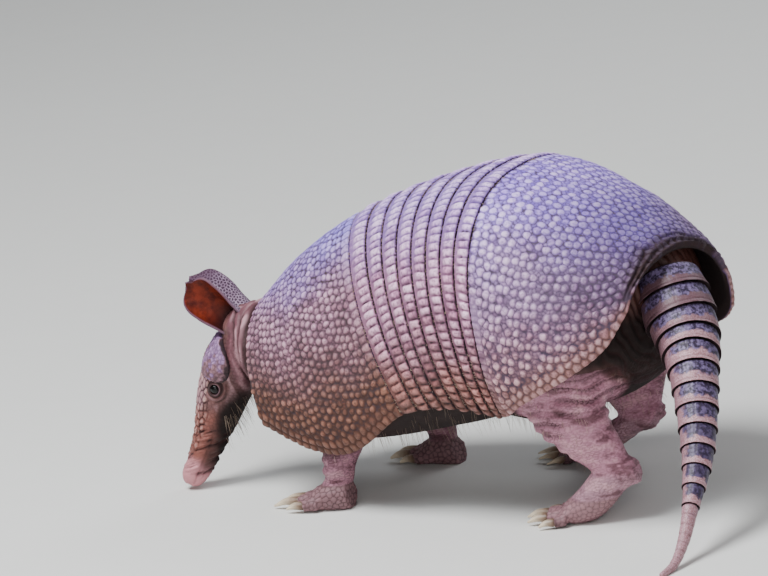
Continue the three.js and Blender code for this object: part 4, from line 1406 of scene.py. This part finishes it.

# %% [markdown]
# ## The skin's colours
# Bare armadillo skin is mauve pink. It is greyer on the brow and the lids, brown red on the snout
# and pink at the nose. Painted shade makes it nearly black on the throat and lower jaw, in every fold,
# in the eye sockets, on the side of the face turned away and under the shell, and painted highlights
# lighten the snout's scales and the crests of the neck's folds.

# %% Finish of the skin
def skin_finish():
    finish = Finish("bare skin", Specular_IOR_Level=0.35)
    blotch, fine, speck = finish.speckle(60.0), finish.speckle(700.0, 4.0, 0.7), finish.speckle(330.0, 2.0)
    colour = finish.blend(finish.ramp(blotch, 0.35, 0.65), srgb(94, 60, 60), srgb(126, 86, 84))
    zones = {
        "leg": (186, 130, 150), "ankle": (176, 134, 148), "foot": (156, 118, 124), "neck": (118, 75, 84),
        "brow": (160, 120, 128), "snout": (136, 80, 70), "nose": (200, 136, 142), "socket_shade": (48, 26, 28),
        "lid": (126, 98, 110), "notch": (92, 56, 50),
    }
    for zone, tint in zones.items():
        colour = finish.blend(finish.ramp(finish.mask(zone) + (blotch - 0.5) * 0.3, 0.15, 0.85), colour, srgb(*tint))
    light_warts = finish.ramp(finish.mask("tone") + (fine - 0.5), 0.1, 1.0) * 0.25
    colour = finish.blend(light_warts, colour, (1, 0.92, 0.9, 1), "SOFT_LIGHT")
    colour = finish.blend(finish.ramp(fine, 0.3, 0.7) * 0.25, colour, (0.62, 0.55, 0.58, 1), "MULTIPLY")
    colour = finish.blend(finish.ramp(speck, 0.66, 0.74) * 0.4, colour, srgb(70, 44, 50))
    coats = {
        # Painted light among these: pale carries a painted highlight on the neck's folds, crest a painted highlight on
        # the snout's scales, and cheek, throat, shade and groove are painted shade.
        "mottle": (0.75, (92, 52, 60)), "pale": (0.75, (226, 176, 184)), "cheek_shade": (0.9, (56, 27, 24)),
        "crest_and_highlight": (0.6, (224, 180, 170)), "throat_shadow": (0.97, (14, 6, 5)), "shade": (0.95, (22, 12, 11)),
        "groove": (0.95, (44, 20, 21)),
    }
    for mask, (strength, tint) in coats.items():
        colour = finish.coat(colour, mask, strength, srgb(*tint))
    hollows = finish.mask("throat_shadow") + finish.mask("shade")
    rough = 0.5 + hollows * 0.35 + finish.mask("groove") * 0.2 + (fine - 0.5) * 0.2
    height = fine * 0.6 + finish.speckle(1900.0, 3.0, 0.7) * 0.4
    return finish.wear(Base_Color=colour, Roughness=rough, Normal=finish.bump(height, 0.00035, 0.7))


FLESH = ["trunk", "neck", "head"] + [n for leg in LEGS for n in (leg[0], leg[0].replace("leg", "foot"))]
build("skin", skin, faces, skin_finish(), FLESH, skin_masks)
bpy.data.meshes.remove(flesh)

# %% [markdown]
# ## Ears
# An ear is a scoop of thin skin, rolled to a tube at its root. Its back is covered with small
# dark-rimmed beads and darkens towards the tip, its hollow is smooth and red brown, partly a painted
# glow of light shining through the thin skin, with painted shade deep in it near the root, and the
# rim is rounded and dusky.

# %% The ear's form and its finish
EAR_THICKNESS, EAR_FOOT = 1.3, -0.06
EAR_GRID, CROWN_GRID = (((121, 97), (73, 121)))


def ear_point(side, a, b, depth):
    """A point of the ear: a from root to tip, b from one edge to the other, depth in from the back."""
    root, length, opening, across = ear_axes(side)
    run = np.clip(a, 0, 1)
    radius, wrap = along(EAR, "radius", run), np.radians(along(EAR, "wrap", run))
    angle = mix(-wrap, wrap, b)
    tip = 3 * step(np.abs(2 * b - 1), 0, 1) * step(run, 0.6, 1)
    r = radius - depth
    return (
        root
        + length * (EAR_LENGTH * a - tip)[..., None]
        + across * (r * np.sin(angle))[..., None]
        + opening * ((radius - EAR["radius"][0]) * 0.55 - r * np.cos(angle))[..., None]
    )


def ear_finish():
    finish = Finish("ear skin", Specular_IOR_Level=0.2)
    fine, blotch = finish.speckle(900.0, 3.0, 0.7), finish.speckle(150.0, 4.0, 0.6)
    back = finish.blend(finish.ramp(blotch, 0.35, 0.7), srgb(136, 112, 134), srgb(172, 150, 172))
    back = finish.blend(finish.ramp(finish.mask("bead"), 0.25, 0.85) * 0.9, back, srgb(60, 38, 56))
    far_end = finish.ramp(finish.mask("far_end") + (blotch - 0.5) * 0.4, 0.1, 1.0)
    back = finish.blend(far_end * 0.75, back, srgb(84, 54, 76))
    # The hollow's red brown is partly a painted glow of light through the thin ear; near the root it is painted shade.
    hollow = finish.blend(finish.ramp(blotch, 0.3, 0.7), srgb(66, 14, 6), srgb(118, 40, 20))
    hollow = finish.blend(finish.mask("deep_shade"), hollow, srgb(44, 18, 20))
    colour = finish.coat(finish.blend(finish.mask("hollow"), back, hollow), "rim", 0.8, srgb(104, 74, 90))
    rough = 0.5 + (fine - 0.5) * 0.2
    return finish.wear(Base_Color=colour, Roughness=rough, Normal=finish.bump(fine, 0.0002, 0.5))

# %% Back and hollow of each ear
EAR_SKIN = ear_finish()
a, b = np.meshgrid(np.linspace(EAR_FOOT, 1, EAR_GRID[0]), np.linspace(0, 1, EAR_GRID[1]), indexing="ij")
run = np.clip(a, 0, 1)
span = np.radians(2 * along(EAR, "wrap", run)) * along(EAR, "radius", run)
edge = np.minimum(np.minimum(b, 1 - b) * span, (1 - a) * EAR_LENGTH)
rim, sink = 1 - step(edge, 0.2, 1.3), edge_round(edge, 0.6) * 0.55
for side, name in ((1, "ear_left"), (-1, "ear_right")):
    back, front = ear_point(side, a, b, 0.0), ear_point(side, a, b, EAR_THICKNESS)
    out = normals_of(back)
    out = out * np.sign(np.einsum("ijk,ijk->ij", out, back - front))[..., None]
    depth, _ = pebbles(back, True, 1.5, 41)
    wavy, veins = 0.5 * noise(back, 14.0, 42), 0.12 * noise(front, 2.6, 43)
    back = back + out * (0.25 * dome_of(depth, 0.6) * (1 - rim) + wavy - sink + 0.15 * rim)[..., None]
    front = front + out * (wavy - veins + sink - 0.15 * rim)[..., None]
    back_masks = {
        "bead": step(depth, 0.05, 0.45) * (1 - rim), "far_end": step(a, 0.4, 0.95), "rim": rim, "hollow": 0, "deep_shade": 0,
    }
    front_masks = {"hollow": 1, "rim": rim, "deep_shade": 1 - step(a, 0.1, 0.5)}
    plate(name, back, front, 1, EAR_SKIN, back_masks, front_masks, 0.5)

# %% [markdown]
# ## Crown
# A horny plate lies on the head from between the ears to the brow. It is made of flat irregular
# scales, and its side edges overhang the cheeks a little and are darkened with painted shade.

# %% Build the crown plate
CROWN = {"station": [0, 0.2, 0.4, 0.7, 0.9, 1], "reach": [44, 80, 93, 98, 95, 80]}
CROWN_SPAN, CROWN_LENGTH, CROWN_RADIUS = (0.5, 27.5), 26, 17
CROWN_HORN = shell_finish(
    "crown horn",
    ((116, 86, 122), (106, 74, 84), (50, 28, 34)),
    ((162, 126, 170), (140, 102, 110), (74, 46, 54)),
    (44, 26, 36), (44, 26, 32), 0.55,
)
a, b = np.meshgrid(np.linspace(0, 1, CROWN_GRID[0]), np.linspace(0, 1, CROWN_GRID[1]), indexing="ij")
reach = np.radians(along(CROWN, "reach", a))
place, angle = mix(*CROWN_SPAN, a), mix(-reach, reach, b)
crown = head_skin(place, angle, 2.1 - 1.3 * step(a, 0.7, 1))
out = normals_of(crown)
out = out * np.sign(np.mean(out @ head_dorsal))
depth, tone = pebbles(crown + 0.5 * noise(crown, 2.5, 53)[..., None], True, 2.2, 51)
slow, ragged, soiled = (noise(crown, size, number) for size, number in ((6.0, 52), (2.4, 54), (3.0, 55)))
to_side = np.minimum(b, 1 - b) * 2 * reach * CROWN_RADIUS
edge = np.minimum(to_side, np.minimum(a, 1 - a) * CROWN_LENGTH)
lift = 0.2 * step(depth, 0, 0.7) + 0.2 * dome_of(depth, 1.4) + 0.5 * slow - edge_round(edge, 1.7) - 0.4
to_side = to_side + 1.3 * ragged
crown_masks = {
    # Painted shade along the side edges: the scales there turn to the darkest tones and the rim colour.
    "raised": mix(0.42, 0.9, step(depth, 0.0, 0.7)) * step(to_side, 0.4, 2.0),
    "tone": tone,
    "down": np.maximum(1 - step(to_side, 0.5, 3.5), 0.6 * step(soiled + 1.6 * (a - 0.45), -0.4, 1.1)),
    "dust": 0.5 * fade(to_side, 0, 1.5),
}
top, bottom = crown + out * lift[..., None], head_skin(place, angle, -0.9)[::4, ::4]
plate("head_shield", top, bottom, 4, CROWN_HORN, crown_masks, {}, 0.8)

# %% [markdown]
# ## Eyes
# Small, nearly black and wet. A ball with a slight bulge at the front catches the light, and a
# ring of very dark brown round the pupil keeps it from being a hole.

# %% Build the eyes
EYE_RADIUS = 3.6
EYE = Finish("eye", Roughness=0.05, Specular_IOR_Level=0.3)
iris = EYE.blend(EYE.ramp(EYE.mask("rim"), 0.45, 0.62), srgb(5, 4, 5), srgb(20, 12, 9))
EYE.wear(Base_Color=EYE.blend(EYE.ramp(EYE.mask("rim"), 0.8, 0.9), iris, srgb(28, 18, 16)))
polar, turn = turns(np.linspace(0.03, np.pi - 0.03, 40), 56)
bulge = EYE_RADIUS * (1 + 0.08 * wave(polar, 0, 0.55))
for side, name in ((1, "eye_left"), (-1, "eye_right")):
    gaze = unit(side * head_side + 0.12 * head_axis + 0.1 * head_dorsal)
    level_way = unit(np.cross(gaze, head_axis))
    around = np.cos(turn)[..., None] * level_way + np.sin(turn)[..., None] * np.cross(gaze, level_way)
    ball = np.cos(polar)[..., None] * gaze + np.sin(polar)[..., None] * around
    ball = head_point(EYE_AT[0], EYE_AT[1], side * EYE_AT[2]) + bulge[..., None] * ball
    tube(name, ball, EYE.material, {"rim": polar / 1.3}, [0, 1])

# %% [markdown]
# ## Claws
# Long, blunt digging claws: deeper than wide at the root, curved down, yellowish horn with
# darker bases and fine lengthwise lines.

# %% Build the claws
CLAW = Finish("claw horn", Specular_IOR_Level=0.5)
grain = CLAW.speckle(500.0, 4.0, 0.6)
horn = CLAW.ramp(CLAW.mask("length") + (grain - 0.5) * 0.3, 0.1, 0.8)
horn = CLAW.coat(CLAW.blend(horn, srgb(122, 96, 78), srgb(222, 206, 180)), "dirt", 0.7, srgb(82, 62, 48))
CLAW.wear(Base_Color=horn, Roughness=0.34 + grain * 0.2, Normal=CLAW.bump(grain, 0.0002, 0.4))
t, angle = turns(np.linspace(0, 2, 44), 32)
lines = 0.05 * np.sin(angle * 9)[..., None] * step(t, 0.1, 0.5)[..., None]
claw_masks = {"length": t / 2, "dirt": fade(t, 0.15, 0.5) * 0.9}
for leg_name, _, _, toes, side, stride in LEGS:
    for number, (start, end, radius, length) in enumerate(toes, 1):
        way = unit(np.array(end, float) - np.array(start, float))
        tip = end + way * length
        tip[2] = max(tip[2] - length * 0.12, 1)
        line = np.array([end + way * -1.2, end + way * 0.4, end + way * (length * 0.5) + [0, 0, 0.25], tip])
        table = {
            "station": [0, 0.25, 1, 2], "x": line[:, 0], "y": line[:, 1], "z": line[:, 2],
            "front": np.array([0.6, 0.7, 0.52, 0.14]) * radius,
            "back": np.array([0.55, 0.66, 0.46, 0.13]) * radius,
            "half": np.array([0.66, 0.76, 0.56, 0.15]) * radius,
        }
        rings = sweep(table, (0, 0, 1), t, angle)
        rings = posed(rings + lines * unit(rings - rings.mean(1, keepdims=True)), side, stride)
        rings[..., 2] = np.maximum(rings[..., 2], 0.05)
        tube(f"{leg_name.replace('leg', 'claw')}_{number}", rings, CLAW.material, claw_masks)

# %% [markdown]
# ## Hairs
# Armadillos are nearly bare, but pale bristles stand behind every band, and longer hair grows on
# the throat, the belly and the legs. Each hair is a thin three-sided spike of its own, bent a
# little, and all hairs of one kind are joined into one mesh.

# %% One mesh of many hairs
HAIR = Finish("hair", Roughness=0.5, Specular_IOR_Level=0.4)
HAIR.wear(Base_Color=HAIR.blend(HAIR.mask("tone"), srgb(70, 52, 36), srgb(214, 190, 168)))
HAIR_POINTS, UV_PATCH = 7, 0.0015
BRISTLES_PER_BAND = 260


def hairs(name, roots, ways, lengths, radius, droop, tones, places):
    """Joined spikes: roots and ways per hair, droop pulls their outer half."""
    ways = unit(ways)
    first = unit(np.cross(ways, [0.31, 0.17, 0.93]))
    second = np.cross(ways, first)
    c = np.arange(3)
    turn, n = c * 2 * np.pi / 3, (c + 1) % 3
    ring = (first[:, None] * np.cos(turn)[:, None] + second[:, None] * np.sin(turn)[:, None]) * radius
    middle = roots + ways * (lengths * 0.55)[:, None] + droop * (lengths * 0.12)[:, None]
    tip = roots + ways * (lengths * 0.95)[:, None] + droop * (lengths * 0.4)[:, None]
    points = np.concatenate([roots[:, None] + ring, middle[:, None] + ring * 0.75, tip[:, None]], 1)
    points[..., 2] = np.maximum(points[..., 2], 0.1)
    start = np.arange(len(roots))[:, None] * HAIR_POINTS
    sides = (start[:, None] + np.stack([c, n, n + 3, c + 3], -1)).reshape(-1, 4)
    ends = (start[:, None] + np.stack([c + 3, n + 3, 6 + 0 * c], -1)).reshape(-1, 3)
    patch = UV_PATCH * np.stack([np.cos(turn), np.sin(turn)], -1)
    spread = np.concatenate([patch, patch * 0.5, [[0, 0]]])
    build(
        name, points.reshape(-1, 3), [sides, ends, start + [2, 1, 0]], HAIR.material, (),
        {"tone": np.repeat(tones, HAIR_POINTS)}, (places[:, None] + spread).reshape(-1, 2),
    )

# %% Bristles of the bands
rng = np.random.default_rng(61)
stations, angles = [], []
for k in range(BAND_COUNT + 1):
    widest = float(margin_angle(k)) * 0.97
    stations.append(np.full(BRISTLES_PER_BAND, k - BAND_GAP - 0.02))
    angles.append(rng.uniform(-widest, widest, BRISTLES_PER_BAND))
stations, angles = np.concatenate(stations), np.concatenate(angles)
roots = section_point(stations, angles, 0.9)
rearward = unit(section_point(stations + 0.1, angles, 0.9) - roots)
outward = unit(section_point(stations, angles) - section_point(stations, angles, 4.0))
ways = rearward + outward * rng.uniform(0.12, 0.5, (len(roots), 1)) + rng.normal(0, 0.22, (len(roots), 3))
hairs(
    "band_bristles", roots, ways, rng.uniform(2.2, 5.2, len(roots)), 0.11, np.array([0, 0, -0.5]),
    rng.uniform(0.7, 1, len(roots)), np.stack([0.02 + 0.4 * (stations + 1) / 10, 0.5 + angles / 6.6], -1),
)

# %% Hair of throat, belly and legs
def grown(name, density, least, most, lift, droop, radius, pale, seed):
    """Hairs on the skin: `density` is the chance of a hair at each point, least and most its length."""
    rng = np.random.default_rng(seed)
    chosen = np.flatnonzero(rng.uniform(0, 1, len(skin)) < density)
    root = skin[chosen]
    way = normal[chosen] * lift + droop + rng.normal(0, 0.25, (len(root), 3))
    head = np.stack([0.74 + 0.2 * d[chosen] / 100, turn_of[chosen] * side_of[chosen] / 380 + 0.5], -1)
    body = np.stack([0.45 + 0.25 * (root[:, 0] + 140) / 320, 0.5 + np.arctan2(root[:, 1], root[:, 2] - 95) / 6.6], -1)
    place = np.where((on_head[chosen] > 0.3)[:, None], head, body)
    lengths, tones = rng.uniform(least, most, len(root)), rng.uniform(*pale, len(root))
    hairs(name, root - normal[chosen] * 0.3, way, lengths, radius, droop, tones, place)


under_throat = throat_shadow * step(turn_of - throat_turn, 8, 30) * fade(d, 46, 68) * (1 - on_neck)
under_belly = skin_masks["shade"] * step(-normal[:, 2], 0.1, 0.6) * (skin[:, 0] < 112)
outer_leg = on_leg * step(skin[:, 2], 22, 40) * (skin[:, 0] < 118)
down_forward = unit(np.array([0.3, -0.1, -1.0]))
grown("throat_hair", under_throat * (0.045), 4, 12, 0.4, down_forward, 0.11, (0.0, 0.5), 62)
grown("belly_hair", under_belly * 0.02, 4, 10, 0.5, np.array([0.25, 0, -1.0]), 0.11, (0.1, 0.7), 63)
grown("leg_hair", outer_leg * 0.006, 2.5, 5.5, 0.6, np.array([0.2, 0, -0.9]), 0.1, (0.6, 1.0), 64)

# %% [markdown]
# ## Floor and light
# The floor is a pale, level sheet. A broad soft lamp above and to the left does most of the work,
# as an overcast sky would, and weaker ones fill the side that is seen and the back. A small lamp
# stands where the eye mirrors it to the camera, which puts the spark in the eye.

# %% Floor, lights and background
FLOOR_REACH = 6.0
AIM = (0, 0, 0.1)
SPARK_DISTANCE = 0.7


def sky(name, place, target, size, power, colour):
    """A round lamp at a place, turned towards its target; metres and watts."""
    lamp = bpy.data.lights.new(name, "AREA")
    lamp.shape, lamp.size, lamp.energy, lamp.color = "DISK", size, power, colour
    holder = bpy.data.objects.new(name, lamp)
    holder.location = place
    holder.rotation_euler = (Vector(target) - Vector(place)).to_track_quat("-Z", "Y").to_euler()
    bpy.context.scene.collection.objects.link(holder)


ground = Finish("pale floor", Roughness=0.9)
ground.wear(Base_Color=ground.blend(ground.speckle(40.0, 2.0) * 0.25, srgb(226, 226, 222), srgb(214, 214, 210)))
floor_mesh = bpy.data.meshes.new("floor")
corners = [(x * FLOOR_REACH, y * FLOOR_REACH, 0) for x, y in ((-1, -1), (1, -1), (1, 1), (-1, 1))]
floor_mesh.from_pydata(corners, [], [(0, 1, 2, 3)])
floor_mesh.materials.append(ground.material)
floor = bpy.data.objects.new("floor", floor_mesh)
bpy.context.scene.collection.objects.link(floor)

sky("key", (-0.5, -0.7, 2.0), (0, 0, 0.08), 1.0, 63, (0.97, 0.98, 1.0))
sky("fill", (1.2, -1.9, 1.0), AIM, 1.2, 16, (1.0, 0.97, 0.95))
sky("back", (0.4, 1.8, 1.5), AIM, 1.2, 12, (0.92, 0.95, 1.0))
eye_spot = to_frame(head_point(*EYE_AT))
mirror = unit(backward + 0.34 * camera_up - 0.1 * camera_right)
to_lamp = 2 * (backward @ mirror) * mirror - backward
sky("catchlight", eye_spot + SPARK_DISTANCE * to_lamp, eye_spot, 0.24, 1.3, (0.9, 0.95, 1.0))
world = bpy.data.worlds.new("studio")
world.use_nodes = True
background = world.node_tree.nodes["Background"].inputs
background["Color"].default_value, background["Strength"].default_value = srgb(226, 230, 236), 0.26
bpy.context.scene.world = world
print("floor:", 2 * FLOOR_REACH, "m wide")
